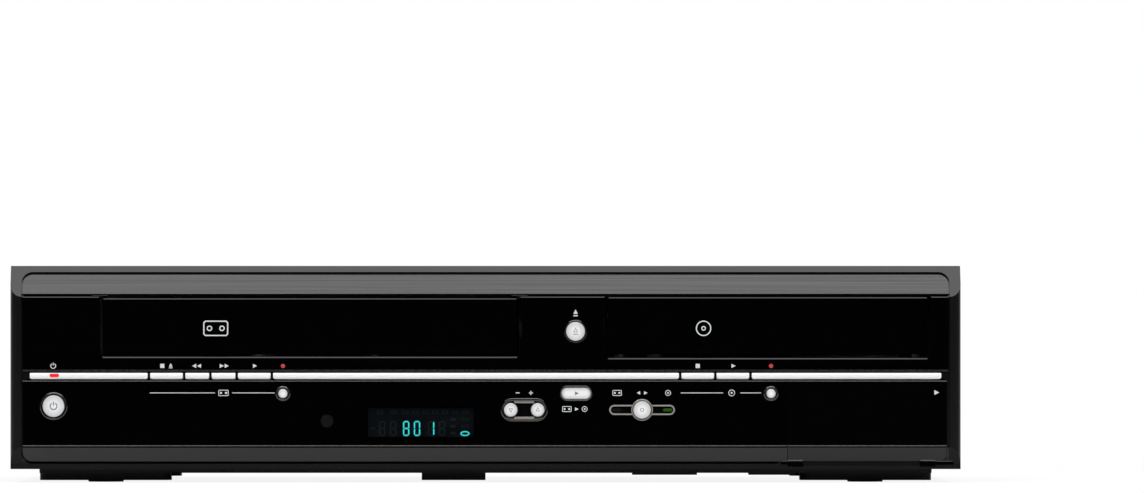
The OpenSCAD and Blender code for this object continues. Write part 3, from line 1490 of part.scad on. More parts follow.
module fan_rotor() {
  y0 = fan_y0 + fan_back_t + guide_gap;
  y1 = body_d - 2 * sheet_t;
  color([0.07, 0.07, 0.07]) on_front() translate([fan_p[0], 0, fan_p[1]]) difference() {
    union() {
      along_y(y0, y1) circle(d = fan_hub_d);
      intersection() {
        for (i = [0:blade_count - 1]) rotate([0, i * 360 / blade_count, 0])
          translate([0, (y0 + y1) / 2, 0]) rotate([blade_turn, 0, 0])
            translate([0, -blade[0] / 2, -blade[1] / 2]) cube([fan_w / 2, blade[0], blade[1]]);
        along_y(y0, y1) circle(d = fan_bore - 2);
      }
    }
    along_y(y0 - cut, y1 - 2 * sheet_t) circle(d = post_d + 2 * shaft_gap);
  }
}

// Post that stands in the pan
module pan_post(p, d, z) {
  translate([p[0], p[1], pan_z]) cylinder(d = d, h = z - pan_z);
}

// Bottom chassis: sheet with folded edges, a drawn pan, vent slots, and posts for deck, loader and boards
module bottom_chassis() {
  color([0.62, 0.62, 0.64]) on_front() difference() {
    union() {
      difference() {
        union() {
          block(-inner_x, inner_x, bezel_d, body_d - sheet_t, base_z, chassis_z);
          block(-pan_x, pan_x, bezel_d, pan_y1, pan_z, chassis_z);
        }
        block(sheet_t - pan_x, pan_x - sheet_t, bezel_d + sheet_t, pan_y1 - sheet_t,
              pan_z + sheet_t, chassis_z + cut);
      }
      for (x = bosses_under)
        block(x[0], x[1], boss_under_y[0], boss_under_y[1], pan_z - boss_under_h, pan_z);
      for (x = [-inner_x, inner_x - sheet_t])
        block(x, x + sheet_t, bezel_d, body_d - sheet_t, base_z, base_z + fold_h);
      block(-inner_x, inner_x, body_d - 2 * sheet_t, body_d - sheet_t, base_z, base_z + rear_fold_h);
      for (p = deck_posts) pan_post(p, post_foot_d, deck_z);
      for (p = loader_posts) pan_post(p, post_foot_d, loader_z0);
      for (p = board_posts) pan_post(p, standoff_d, board_z);
    }
    for (x = vent_x, i = [0:vent_count - 1])
      translate([x, body_d / 2 + (i - vent_count / 2) * vent_pitch, pan_z - cut])
        linear_extrude(sheet_t + 2 * cut) pill(vent[0], vent[1]);
    for (p = side_screws) rod_x(p, screw_d / 2 + fit, -body_w, body_w);
    for (p = rear_screws) rod_y(p, screw_d + 2 * fit, body_d - 3 * sheet_t, body_d);
  }
}

// Top cover: folded sheet, open at the front and back, with vent slots in its sides
module top_cover() {
  color([0.13, 0.13, 0.135]) on_front() difference() {
    block(-cover_x, cover_x, bezel_d, body_d, base_z, cover_z);
    block(sheet_t - cover_x, cover_x - sheet_t, bezel_d - cut, body_d + cut,
          base_z - cut, cover_z - sheet_t);
    for (i = [0:side_vents - 1], z = side_vent_z)
      translate([0, body_d - vent_back - i * vent_pitch, z])
        along_x(-body_w, body_w) rotate(90) pill(vent[0], vent[1]);
    for (p = side_screws) rod_x(p, screw_d / 2 + fit, -body_w, body_w);
  }
}

// Rear panel with cut-outs for the sockets and slots for the fan
module rear_panel() {
  color([0.6, 0.6, 0.62]) on_front() along_y(body_d - sheet_t, body_d) difference() {
    span(-inner_x, inner_x, base_z, cover_z - sheet_t - fit);
    for (z = scart_z) translate([scart_x, z]) scart_outline(scart_wall + fit);
    for (p = phono_points) translate(p) circle(d = sleeve_d + phono_flange + 2 * fit);
    for (p = aerial_points) translate(p) circle(d = aerial_d + 2 * fit);
    translate(inlet_p) square(inlet + 2 * (inlet_wall + fit) * [1, 1], center = true);
    for (i = [-3:3]) translate(fan_p + [0, i * fan_slot[0]])
      pill(2 * sqrt(pow(fan_w / 2 - 2, 2) - pow(i * fan_slot[0], 2)), fan_slot[1]);
    for (p = rear_screws) translate(p) circle(d = screw_d + 2 * fit);
  }
}

module cover_screws() {
  color([0.2, 0.2, 0.2]) on_front() {
    for (p = side_screws, side = [-1, 1]) {
      head_x = side > 0 ? cover_x : -cover_x - screw_head_h;
      shank_x = side > 0 ? cover_x - screw_l : -cover_x - fit;
      rod_x(p, screw_head_d / 2, head_x, head_x + screw_head_h);
      rod_x(p, screw_d / 2, shank_x, shank_x + screw_l + fit);
    }
    for (p = rear_screws) {
      rod_y(p, screw_head_d, body_d, body_d + screw_head_h);
      rod_y(p, screw_d, body_d - screw_l, body_d + fit);
    }
  }
}

// Foot blocks with seats for their pads, and the middle support
module feet() {
  color([0.05, 0.05, 0.05]) on_front() {
    for (p = foot_points) translate([p[0], p[1], pad_proud]) difference() {
      linear_extrude(pan_z - pad_proud) rounded(foot[0], foot[1], foot_r);
      translate([0, 0, -cut]) cylinder(d = pad_d + 2 * fit, h = pad_seat + cut);
    }
    translate([support_x, bezel_d + foot_inset + support[1] / 2, pad_proud])
      linear_extrude(pan_z - pad_proud) rounded(support[0], support[1], foot_r / 2);
  }
}

module foot_pads() {
  color([0.03, 0.03, 0.03]) on_front()
    for (p = foot_points) translate([p[0], p[1], 0]) cylinder(d = pad_d, h = pad_proud + pad_seat);
}

bottom_chassis();
top_cover();
rear_panel();
front_bezel();
brushed_band();
upper_fascia();
lower_fascia();
chrome_strip();
button_rings();
display_window();
indicator_lenses();
feet();
foot_pads();
cover_screws();
front_board();
tact_switches();
tube_display();
av_input_panel();
av_input_jacks();
main_board();
power_board();
heat_sink();
scart_sockets();
phono_jacks();
tuner();
mains_inlet();
fan_frame();
fan_rotor();
loader_frame();
loader_pinion();
spindle_motor();
disc_turntable();
optical_pickup();
clamp_bridge();
deck_plate();
lower_drum();
head_drum();
supply_reel();
takeup_reel();
capstan();
lift_plates();
cassette_holder();
cassette_flap();
disc_tray();
tray_front();
av_door();
power_button();
tape_stop_button();
tape_rewind_button();
tape_forward_button();
tape_play_button();
tape_record_button();
disc_stop_button();
disc_play_button();
disc_record_button();
open_close_button();
channel_down_button();
channel_up_button();
dubbing_button();
select_button();
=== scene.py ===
import math

import bpy
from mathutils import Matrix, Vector


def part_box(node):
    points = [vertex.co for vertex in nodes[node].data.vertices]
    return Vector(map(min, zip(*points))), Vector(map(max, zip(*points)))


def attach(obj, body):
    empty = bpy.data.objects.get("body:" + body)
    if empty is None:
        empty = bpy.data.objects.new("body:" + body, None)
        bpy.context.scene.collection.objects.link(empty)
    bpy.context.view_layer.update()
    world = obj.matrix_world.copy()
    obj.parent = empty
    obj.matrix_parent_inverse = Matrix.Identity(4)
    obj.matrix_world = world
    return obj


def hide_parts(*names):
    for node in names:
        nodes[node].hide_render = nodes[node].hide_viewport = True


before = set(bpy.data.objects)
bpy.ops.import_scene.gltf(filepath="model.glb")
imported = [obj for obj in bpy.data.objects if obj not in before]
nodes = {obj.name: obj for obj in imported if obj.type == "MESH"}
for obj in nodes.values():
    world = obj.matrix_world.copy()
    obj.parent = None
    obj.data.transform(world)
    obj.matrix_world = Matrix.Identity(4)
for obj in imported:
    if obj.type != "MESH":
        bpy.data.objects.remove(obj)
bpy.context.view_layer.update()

mm = 0.001


# Bottom chassis, rear panel and the sheet brackets inside: punched and folded steel, one millimetre thick.
# The chassis is coloured near black as painted shade, for the shadow under the deck,
# and the others keep the crystal pattern of their zinc.
def link(material, source, target):
    material.node_tree.links.new(source, target)


def add(material, kind, **values):
    """Adds a shader node and sets its input sockets by name, with _ for a space."""
    made = material.node_tree.nodes.new("ShaderNode" + kind)
    for name, value in values.items():
        made.inputs[name.replace("_", " ")].default_value = value
    return made


def shader_of(material):
    return material.node_tree.nodes["Principled BSDF"]


def place_on(material, stretch=(1, 1, 1)):
    """Object coordinates, stretched per axis."""
    mapping = add(material, "Mapping", Scale=stretch)
    link(material, add(material, "TexCoord").outputs["Object"], mapping.inputs["Vector"])
    return mapping.outputs["Vector"]


def blend_colours(material, factor, first, second):
    """Goes from the first colour to the second as the factor goes from 0 to 1; a colour may be a socket."""
    mix = add(material, "Mix")
    mix.data_type = "RGBA"
    first_in, second_in, colour_out = mix.inputs[6], mix.inputs[7], mix.outputs[2]
    link(material, factor, mix.inputs["Factor"])
    for socket, colour in ((first_in, first), (second_in, second)):
        if isinstance(colour, tuple):
            socket.default_value = (*colour, 1)
        else:
            link(material, colour, socket)
    return colour_out


def spread(material, value, low, high):
    """Maps a value from 0..1 to low..high."""
    ranged = add(material, "MapRange", To_Min=low, To_Max=high)
    link(material, value, ranged.inputs["Value"])
    return ranged.outputs["Result"]


def finish(name, dark, light, grain, rough, metal=0.0, relief=0.0, stretch=(1, 1, 1)):
    """Surface whose colour, gloss and relief follow one grain; grain counts the grains in a metre."""
    material = bpy.data.materials.new(name)
    material.use_nodes = True
    shader = shader_of(material)
    shader.inputs["Metallic"].default_value = metal
    noise = add(material, "TexNoise", Scale=grain, Detail=4.0)
    link(material, place_on(material, stretch), noise.inputs["Vector"])
    value = noise.outputs["Fac"]
    link(material, blend_colours(material, value, dark, light), shader.inputs["Base Color"])
    link(material, spread(material, value, *rough), shader.inputs["Roughness"])
    if relief:
        grain_depth = 0.05 * mm
        bump = add(material, "Bump", Strength=relief, Distance=grain_depth)
        link(material, value, bump.inputs["Height"])
        link(material, bump.outputs["Normal"], shader.inputs["Normal"])
    return material


def dress(material, *names):
    """Gives CAD nodes their finish."""
    for name in names:
        nodes[name].data.materials.clear()
        nodes[name].data.materials.append(material)


zinc_gloss = (0.26, 0.5)
zinc_steel = finish("zinc_steel", (0.34, 0.35, 0.36), (0.56, 0.57, 0.58), 160, zinc_gloss, metal=1.0,
                    relief=0.1)
crystal = add(zinc_steel, "TexVoronoi", Scale=190.0)
link(zinc_steel, place_on(zinc_steel), crystal.inputs["Vector"])
link(zinc_steel, spread(zinc_steel, crystal.outputs["Distance"], *zinc_gloss),
     shader_of(zinc_steel).inputs["Roughness"])
dress(zinc_steel, "rear_panel", "deck_plate", "lift_plates", "cassette_holder", "clamp_bridge")
# Painted shade: the chassis is coloured near black to stand in for the shadow beneath the deck.
painted_shade_black = finish("painted_shade_black", (0.004, 0.004, 0.0045), (0.009, 0.009, 0.01), 900, (0.4, 0.55), relief=0.2)
dress(painted_shade_black, "bottom_chassis")


# Foot blocks and middle support: moulded black plastic, pressed into the chassis from below.
# Each block holds a round pad of dull soft rubber that keeps the deck from sliding.
moulded_black = finish("moulded_black", (0.006, 0.006, 0.007), (0.012, 0.012, 0.013), 2600, (0.42, 0.58),
                       relief=0.35)
rubber = finish("rubber", (0.008, 0.008, 0.008), (0.02, 0.02, 0.019), 900, (0.75, 0.95), relief=0.5)
dress(moulded_black, "feet")
dress(rubber, "foot_pads")


# Circuit boards: green glass-fibre laminate for the front and main board, brown paper laminate for the
# power board. Copper tracks show through the lacquer, and the parts above the board are dark.
def coordinate(material, axis):
    """Object coordinate on one axis."""
    parts = add(material, "SeparateXYZ")
    link(material, add(material, "TexCoord").outputs["Object"], parts.inputs["Vector"])
    return parts.outputs[axis]


def beyond(material, axis, limit, operation="GREATER_THAN"):
    """1 where the object coordinate on an axis is past a limit, and 0 elsewhere."""
    test = add(material, "Math")
    test.operation = operation
    test.inputs[1].default_value = limit
    link(material, coordinate(material, axis), test.inputs[0])
    return test.outputs["Value"]


def laminate(name, base, track, top_z):
    """Board lacquer with tracks, and the dark casings of the parts that stand above height top_z."""
    material = finish(name, base, base, 400, (0.3, 0.45))
    shader = shader_of(material)
    tracks = add(material, "TexBrick", Scale=260.0, Mortar_Size=0.06, Brick_Width=2.2, Row_Height=0.5)
    link(material, place_on(material), tracks.inputs["Vector"])
    lacquer = blend_colours(material, tracks.outputs["Fac"], base, track)
    casing = (0.02, 0.02, 0.022)
    link(material, blend_colours(material, beyond(material, "Z", top_z), lacquer, casing),
         shader.inputs["Base Color"])
    return material


board_t, board_play = 1.6 * mm, 0.05 * mm
main_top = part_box("main_board")[0].z + board_t + board_play
above_all = 1.0
green_base, green_track = (0.012, 0.09, 0.035), (0.03, 0.16, 0.06)
brown_base, brown_track = (0.16, 0.1, 0.035), (0.24, 0.16, 0.06)
green_board = laminate("green_board", green_base, green_track, main_top)
brown_board = laminate("brown_board", brown_base, brown_track, main_top)
front_laminate = laminate("front_laminate", green_base, green_track, above_all)
dress(green_board, "main_board")
dress(brown_board, "power_board")
dress(front_laminate, "front_board")
dress(moulded_black, "tact_switches")


# Heat sink, fan and spindle motor: extruded and die-cast aluminium, and a moulded fan with seven blades.
# The fan's frame sits behind the slots of the rear panel, and its rotor turns on a post of the frame.
aluminium = finish("aluminium", (0.5, 0.5, 0.52), (0.68, 0.68, 0.7), 700, (0.28, 0.42), metal=1.0,
                   relief=0.1)
dress(aluminium, "heat_sink", "spindle_motor")
dress(moulded_black, "fan_frame", "fan_rotor")


# Scart sockets: black moulded bodies on the main board, with a block of contact slots inside.
# The block has two rows of ten slots, moulded in one piece with the socket.
def only(piece):
    """Makes one object the only one that is selected, and the active one."""
    bpy.ops.object.select_all(action="DESELECT")
    piece.select_set(True)
    bpy.context.view_layer.objects.active = piece


def apply_place(piece):
    """Puts an object's place, turn and size into its mesh."""
    only(piece)
    bpy.ops.object.transform_apply(location=True, rotation=True, scale=True)


def choose(piece, wanted):
    """Selects the faces that wanted() says yes to, and stays in edit mode."""
    only(piece)
    bpy.ops.object.mode_set(mode="EDIT")
    bpy.ops.mesh.select_mode(type="FACE")
    bpy.ops.mesh.select_all(action="DESELECT")
    bpy.ops.object.mode_set(mode="OBJECT")
    for polygon in piece.data.polygons:
        polygon.select = wanted(polygon)
    bpy.ops.object.mode_set(mode="EDIT")


def push(x=0.0, y=0.0, z=0.0):
    """Extrudes what is selected."""
    bpy.ops.mesh.extrude_region_move(TRANSFORM_OT_translate={"value": (x, y, z)})


def join_up(parts):
    """Joins parts into the first of them."""
    only(parts[0])
    for part in parts:
        part.select_set(True)
    if len(parts) > 1:
        bpy.ops.object.join()
    return parts[0]


def settle(piece, name, body, material):
    """Names a finished piece, smooths its shading, and sets it on the body that carries it."""
    crease = math.radians(35)
    apply_place(piece)
    bpy.ops.object.mode_set(mode="EDIT")
    bpy.ops.mesh.select_all(action="SELECT")
    bpy.ops.mesh.normals_make_consistent(inside=False)
    bpy.ops.object.mode_set(mode="OBJECT")
    bpy.ops.object.shade_smooth_by_angle(angle=crease)
    piece.name = name
    piece.data.name = name
    piece.data.materials.clear()
    piece.data.materials.append(material)
    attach(piece, body)


def contact_block(x, y, z):
    """Block of contact slots that faces the back, with its front face at y."""
    columns, rows = 21, 5
    wide, high = 40 * mm, 6 * mm
    slot_depth, block_depth = 2.5 * mm, 3.6 * mm
    bpy.ops.mesh.primitive_grid_add(x_subdivisions=columns, y_subdivisions=rows, size=1,
                                    rotation=(-math.pi / 2, 0, 0))
    block = bpy.context.object
    block.scale = (wide, high, 1)
    block.location = (x, y, z)
    apply_place(block)
    column_w, row_h = wide / columns, high / rows
    corner_x, corner_z = x - wide / 2, z - high / 2

    def is_slot(face):
        column = int((face.center.x - corner_x) / column_w)
        row = int((face.center.z - corner_z) / row_h)
        return column % 2 == 1 and row % 2 == 1

    choose(block, is_slot)
    push(y=-slot_depth)
    bpy.ops.mesh.select_all(action="SELECT")
    bpy.ops.mesh.region_to_loop()
    push(y=-block_depth)
    bpy.ops.object.mode_set(mode="OBJECT")
    return block


def middle_x(node):
    low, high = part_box(node)
    return (low.x + high.x) / 2


dress(moulded_black, "scart_sockets")
scart_x, scart_high = middle_x("scart_sockets"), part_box("scart_sockets")[1]
contact_in, scart_edge, scart_pitch = 5.2 * mm, 8.5 * mm, 19 * mm
contact_y = scart_high.y - contact_in
scart_top_z = scart_high.z - scart_edge
blocks = [contact_block(scart_x, contact_y, z) for z in (scart_top_z, scart_top_z - scart_pitch)]
settle(join_up(blocks), "scart_contacts", "deck", moulded_black)


# Rear phono jacks, tuner and mains inlet: nickel-plated sleeves, a tinned tuner can and a black inlet.
# A coloured collar round each phono jack shows what it carries, and the inlet holds two bright pins.
nickel = finish("nickel", (0.55, 0.53, 0.48), (0.7, 0.68, 0.63), 1200, (0.16, 0.3), metal=1.0)
dress(nickel, "phono_jacks", "tuner")
dress(moulded_black, "mains_inlet")


def soften(piece, width):
    """Rounds the sharp edges of a piece."""
    only(piece)
    bpy.ops.object.modifier_add(type="BEVEL")
    bevel = piece.modifiers[-1]
    bevel.width = width
    bevel.segments = 2
    bevel.limit_method = "ANGLE"
    bpy.ops.object.modifier_apply(modifier=bevel.name)


def collar(x, z, y0, y1, outer, bore):
    """Ring along Y between two depths, with rounded edges."""
    edge_round = 0.25 * mm
    bpy.ops.mesh.primitive_circle_add(vertices=40, radius=outer / 2, fill_type="NGON",
                                      location=(x, y0, z), rotation=(math.pi / 2, 0, 0))
    ring = bpy.context.object
    apply_place(ring)
    bpy.ops.object.mode_set(mode="EDIT")
    bpy.ops.mesh.select_all(action="SELECT")
    bpy.ops.mesh.inset(thickness=(outer - bore) / 2)
    bpy.ops.mesh.delete(type="FACE")
    bpy.ops.mesh.select_all(action="SELECT")
    push(y=y1 - y0)
    bpy.ops.object.mode_set(mode="OBJECT")
    soften(ring, edge_round)
    return ring


def socket_plastic(name, colour):
    paler = 1.25
    pale = tuple(min(1.0, paler * part) for part in colour)
    return finish(name, colour, pale, 1500, (0.3, 0.42), relief=0.1)


socket_yellow = socket_plastic("socket_yellow", (0.62, 0.42, 0.02))
socket_white = socket_plastic("socket_white", (0.6, 0.6, 0.57))
socket_red = socket_plastic("socket_red", (0.48, 0.02, 0.02))
socket_green = socket_plastic("socket_green", (0.02, 0.26, 0.07))
socket_blue = socket_plastic("socket_blue", (0.02, 0.08, 0.42))
phono_edge, phono_pitch, phono_drop = 8.3 * mm, 14 * mm, 16 * mm
phono_x = middle_x("phono_jacks")
phono_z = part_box("phono_jacks")[1].z - phono_edge
phono_rows = {"upper": phono_z, "lower": phono_z - phono_drop}
rear_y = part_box("rear_panel")[1].y
phono_colours = {"upper": (("green", socket_green), ("blue", socket_blue), ("red", socket_red)),
                 "lower": (("yellow", socket_yellow), ("white", socket_white), ("red", socket_red))}
phono_outer, phono_bore, phono_proud = 12.4 * mm, 9.7 * mm, 1.5 * mm
for row, colours in phono_colours.items():
    for place, (colour, plastic) in enumerate(colours):
        ring_x = phono_x + (place - 1) * phono_pitch
        ring = collar(ring_x, phono_rows[row], rear_y, rear_y + phono_proud, phono_outer, phono_bore)
        settle(ring, f"phono_collar_{row}_{colour}", "deck", plastic)

inlet_edge = 8.3 * mm
inlet_x = middle_x("mains_inlet")
inlet_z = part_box("mains_inlet")[1].z - inlet_edge
pin_pitch, pin_r, pin_l = 8.6 * mm, 1.26 * mm, 9 * mm
pin_in, pin_round = 2.3 * mm, 0.5 * mm
pin_end = rear_y - pin_in
pins = []
for side in (-1, 1):
    pin_place = (inlet_x + side * pin_pitch / 2, pin_end - pin_l / 2, inlet_z)
    bpy.ops.mesh.primitive_cylinder_add(vertices=24, radius=pin_r, depth=pin_l, location=pin_place,
                                        rotation=(math.pi / 2, 0, 0))
    pins.append(bpy.context.object)
    apply_place(pins[-1])
    soften(pins[-1], pin_round)
settle(join_up(pins), "mains_pins", "deck", nickel)


# Disc loader: grey moulded frame, white acetal pinion, black turntable and pickup.
# The tray is matt black, moulded in one piece with its rack, and its front is a gloss black plate.
moulded_grey = finish("moulded_grey", (0.1, 0.1, 0.105), (0.15, 0.15, 0.155), 1800, (0.4, 0.55), relief=0.25)
acetal = finish("acetal", (0.66, 0.65, 0.6), (0.76, 0.75, 0.7), 900, (0.32, 0.45))
tray_black = finish("tray_black", (0.01, 0.01, 0.011), (0.018, 0.018, 0.019), 3000, (0.4, 0.52), relief=0.3)
dress(moulded_grey, "loader_frame")
dress(acetal, "loader_pinion")
dress(moulded_black, "disc_turntable", "optical_pickup")
dress(tray_black, "disc_tray")


# Cassette deck: polished head drum, turned aluminium lower drum and capstan, black moulded reel tables.
# The drum turns with its shaft in the lower drum, and the reel tables turn on posts of the deck plate.
polished = finish("polished", (0.5, 0.5, 0.52), (0.64, 0.64, 0.66), 2500, (0.2, 0.32), metal=1.0)
dress(polished, "head_drum")
dress(aluminium, "lower_drum", "capstan")
dress(moulded_black, "supply_reel", "takeup_reel")


# Top cover: folded steel sheet with dark textured paint, open at the front and back.
# It slides under the bezel's rear edge and is held by screws at its sides.
cover_paint = finish("cover_paint", (0.012, 0.012, 0.013), (0.024, 0.024, 0.026), 1500, (0.42, 0.62),
                     relief=0.6)
dress(cover_paint, "top_cover")


# Cover and rear panel screws: black pan heads with a cross recess, each with a short shank.
# Two hold the cover at each side, and four hold the rear panel to the chassis fold.
screw_black = finish("screw_black", (0.02, 0.02, 0.022), (0.05, 0.05, 0.053), 3000, (0.28, 0.45), metal=0.8)


def cross_screw():
    """Screw along Z with its head's underside at the origin and its head upwards."""
    head_r, head_h, head_round = 3.75 * mm, 1.8 * mm, 0.8 * mm
    shank_r, shank_l, tip_bevel = 1.5 * mm, 6 * mm, 0.5 * mm
    recess_l, recess_w, recess_d = 4.2 * mm, 0.9 * mm, 1.2 * mm
    bpy.ops.mesh.primitive_cylinder_add(vertices=40, radius=head_r, depth=head_h,
                                        location=(0, 0, head_h / 2))
    head = bpy.context.object
    apply_place(head)
    choose(head, lambda face: face.normal.z > 0.9)
    bpy.ops.mesh.bevel(offset=head_round, segments=4, affect="EDGES")
    bpy.ops.object.mode_set(mode="OBJECT")
    for turn in (0, math.pi / 2):
        bpy.ops.mesh.primitive_cube_add(size=1, rotation=(0, 0, turn), location=(0, 0, head_h))
        cutter = bpy.context.object
        cutter.scale = (recess_l, recess_w, 2 * recess_d)
        apply_place(cutter)
        only(head)
        bpy.ops.object.modifier_add(type="BOOLEAN")
        head.modifiers[-1].object = cutter
        bpy.ops.object.modifier_apply(modifier=head.modifiers[-1].name)
        only(cutter)
        bpy.ops.object.delete()
    bpy.ops.mesh.primitive_cylinder_add(vertices=24, radius=shank_r, depth=shank_l,
                                        location=(0, 0, -shank_l / 2))
    shank = bpy.context.object
    choose(shank, lambda face: face.normal.z < -0.9)
    bpy.ops.mesh.bevel(offset=tip_bevel, segments=1, affect="EDGES")
    bpy.ops.object.mode_set(mode="OBJECT")
    return join_up([head, shank])


pattern = cross_screw()
cover_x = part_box("top_cover")[1].x
side_screw_y = (-90.2 * mm, 96.8 * mm)
side_screw_z = 10.5 * mm
rear_screw_x = (-190 * mm, -60 * mm, 70 * mm, 195 * mm)
rear_screw_z = 10 * mm
screw_places = [((side * cover_x, y, side_screw_z), (0, side * math.pi / 2, 0))
                for side in (-1, 1) for y in side_screw_y]
screw_places += [((x, rear_y, rear_screw_z), (-math.pi / 2, 0, 0)) for x in rear_screw_x]
screws = []
for place, turn in screw_places:
    screw = pattern.copy()
    screw.data = pattern.data.copy()
    bpy.context.collection.objects.link(screw)
    screw.location = place
    screw.rotation_euler = turn
    apply_place(screw)
    screws.append(screw)
only(pattern)
bpy.ops.object.delete()
all_screws = join_up(screws)
settle(all_screws, "cross_screws", "deck", screw_black)
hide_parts("cover_screws")


# Front bezel: one moulding in satin black, with a fine spark-eroded grain, and a painted sheen that makes
# the lip paler.
# It carries every other piece of the front and clips over the edges of cover and chassis.
def within(material, axis, middle, reach):
    """1 where the object coordinate on an axis is within reach of a middle, and 0 elsewhere."""
    test = beyond(material, axis, middle, "COMPARE").node
    test.inputs[2].default_value = reach
    return test.outputs["Value"]


def maths(material, operation, first, second):
    made = add(material, "Math")
    made.operation = operation
    link(material, first, made.inputs[0])
    link(material, second, made.inputs[1])
    return made.outputs["Value"]


satin_black = finish("satin_black", (0.0028, 0.0029, 0.0032), (0.0045, 0.0047, 0.0052), 4200, (0.2, 0.28),
                     relief=0.1)
shader_of(satin_black).inputs["Specular IOR Level"].default_value = 0.32
frame_colour = shader_of(satin_black).inputs["Base Color"].links[0].from_socket
lip_low, lip_high = 9.5 * mm, 16 * mm
lip_z, lip_reach = (lip_low + lip_high) / 2, (lip_high - lip_low) / 2
# Painted sheen: the lip is coloured paler than the rest of the bezel, for the floor's light that it
# reflects.
lip_sheen_colour = (0.03, 0.0305, 0.032)
lip_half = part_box("upper_fascia")[1].x
lip_sheen_mask = maths(satin_black, "MULTIPLY", within(satin_black, "X", 0.0, lip_half),
               within(satin_black, "Z", lip_z, lip_reach))
link(satin_black, blend_colours(satin_black, lip_sheen_mask, frame_colour, lip_sheen_colour),
     shader_of(satin_black).inputs["Base Color"])
dress(satin_black, "front_bezel")


# Band across the visor: brushed aluminium with a grey anodised skin, glued into the bezel's pocket.
# The brush lines run along the front.
brushed_band = finish("brushed_band", (0.012, 0.012, 0.0122), (0.088, 0.088, 0.089), 1700, (0.28, 0.48),
                      metal=1.0, relief=0.3, stretch=(0.004, 1, 1))
dress(brushed_band, "brushed_band")


# Fascias, cassette flap, tray front and input door: black acrylic plates with a mirror gloss.
# They are glued on the bezel's plate, and the flap, tray front and door are clipped to what carries them.
def past_box(material, middle, half):
    """Distance in the plane of the front from a box with this middle and half sizes along X and Z."""
    centred = add(material, "Mapping", Location=(-middle[0], 0, -middle[1]), Scale=(1, 0, 1))
    link(material, add(material, "TexCoord").outputs["Object"], centred.inputs["Vector"])
    place = centred.outputs["Vector"]
    for operation, limit in (("ABSOLUTE", (0, 0, 0)), ("SUBTRACT", (half[0], 0, half[1])),
                             ("MAXIMUM", (0, 0, 0)), ("LENGTH", (0, 0, 0))):
        step = add(material, "VectorMath")
        step.operation = operation
        step.inputs[1].default_value = limit
        link(material, place, step.inputs[0])
        place = step.outputs["Value" if operation == "LENGTH" else "Vector"]
    return place


def rise(material, value, start, end):
    """Goes from 0 to 1 as a value goes from start to end."""
    ranged = add(material, "MapRange", From_Min=start, From_Max=end)
    link(material, value, ranged.inputs["Value"])
    return ranged.outputs["Result"]


gloss_low, gloss_high = (0.0002, 0.0002, 0.0003), (0.0005, 0.0005, 0.0007)
gloss_grain, gloss_rough = 220, (0.03, 0.055)
gloss_black = finish("gloss_black", gloss_low, gloss_high, gloss_grain, gloss_rough)
shader_of(gloss_black).inputs["Specular IOR Level"].default_value = 0.25
dress(gloss_black, "upper_fascia", "lower_fascia", "cassette_flap", "tray_front")

# Painted sheen: along the lip the door is coloured paler, like the bezel's lip, for the floor's light that
# it reflects.
door_lip_colour, groove_colour = (0.024, 0.0244, 0.0256), (0.0002, 0.0002, 0.0002)
door_frame_colour, hinge_colour = (0.009, 0.0092, 0.01), (0.003, 0.003, 0.0032)
door_rough, door_lip_rough, hinge_rough = 0.04, 0.24, 0.6
door_black = finish("door_black", gloss_low, gloss_high, gloss_grain, gloss_rough)
lip_in = 0.15 * mm
door_lip = within(door_black, "Z", lip_z, lip_reach - lip_in)
door_colour = blend_colours(door_black, door_lip, gloss_high, door_lip_colour)
lip_corner, door_high = 5 * mm, 60 * mm
groove_w, blur = 0.4 * mm, 0.1 * mm
groove_end = lip_corner + groove_w
inner_low, inner_half = lip_low + lip_corner, lip_half - lip_corner
past_lip = past_box(door_black, (0, (inner_low + door_high) / 2), (inner_half, (door_high - inner_low) / 2))
groove = rise(door_black, past_lip, lip_corner, lip_corner + blur)
frame_part = rise(door_black, past_lip, groove_end, groove_end + blur)
door_colour = blend_colours(door_black, groove, door_colour, groove_colour)
door_colour = blend_colours(door_black, frame_part, door_colour, door_frame_colour)
hinge_part = beyond(door_black, "Z", lip_low, "LESS_THAN")
link(door_black, blend_colours(door_black, hinge_part, door_colour, hinge_colour),
     shader_of(door_black).inputs["Base Color"])
link(door_black, hinge_part, shader_of(door_black).inputs["Metallic"])
link(door_black, maths(door_black, "MAXIMUM", spread(door_black, door_lip, door_rough, door_lip_rough),
                       spread(door_black, hinge_part, 0.0, hinge_rough)),
     shader_of(door_black).inputs["Roughness"])
shader_of(door_black).inputs["Specular IOR Level"].default_value = 0.35
dress(door_black, "av_door")


# Edges of the fascias and the door: painted highlights, fine pale bars laid on the front for the light the
# edges catch.
# The lines run above and below the strip and along the lip, and the one above the strip is dim.
def ink_shape(corners, x, z, wide, high, face_y, turn=0.0, line=0.0, thick=0.05 * mm, gap=0.0, point=0.0):
    """Thin shape on a face that looks to -Y. line makes it an outline, gap opens a ring at its top,
    and point cuts its corners."""
    bpy.ops.mesh.primitive_circle_add(vertices=corners, radius=1, fill_type="NGON",
                                      rotation=(math.pi / 2, turn, 0))
    mark = bpy.context.object
    apply_place(mark)
    mark.scale = (wide / mark.dimensions.x, 1, high / mark.dimensions.z)
    mark.location = (x, face_y, z)
    apply_place(mark)
    bpy.ops.object.mode_set(mode="EDIT")
    bpy.ops.mesh.select_all(action="SELECT")
    if point:
        bpy.ops.mesh.bevel(offset=point, segments=1, affect="VERTICES")
        bpy.ops.mesh.select_all(action="SELECT")
    if line:
        bpy.ops.mesh.inset(thickness=line)
        bpy.ops.mesh.delete(type="FACE")
    if gap:
        bpy.ops.object.mode_set(mode="OBJECT")
        choose(mark, lambda face: abs(math.atan2(face.center.x - x, face.center.z - z)) < gap)
        bpy.ops.mesh.delete(type="FACE")
    bpy.ops.mesh.select_all(action="SELECT")
    push(y=-thick)
    bpy.ops.object.mode_set(mode="OBJECT")
    return mark


def bar(x, z, wide, high, face_y, **more):
    return ink_shape(4, x, z, wide, high, face_y, turn=math.pi / 4, **more)


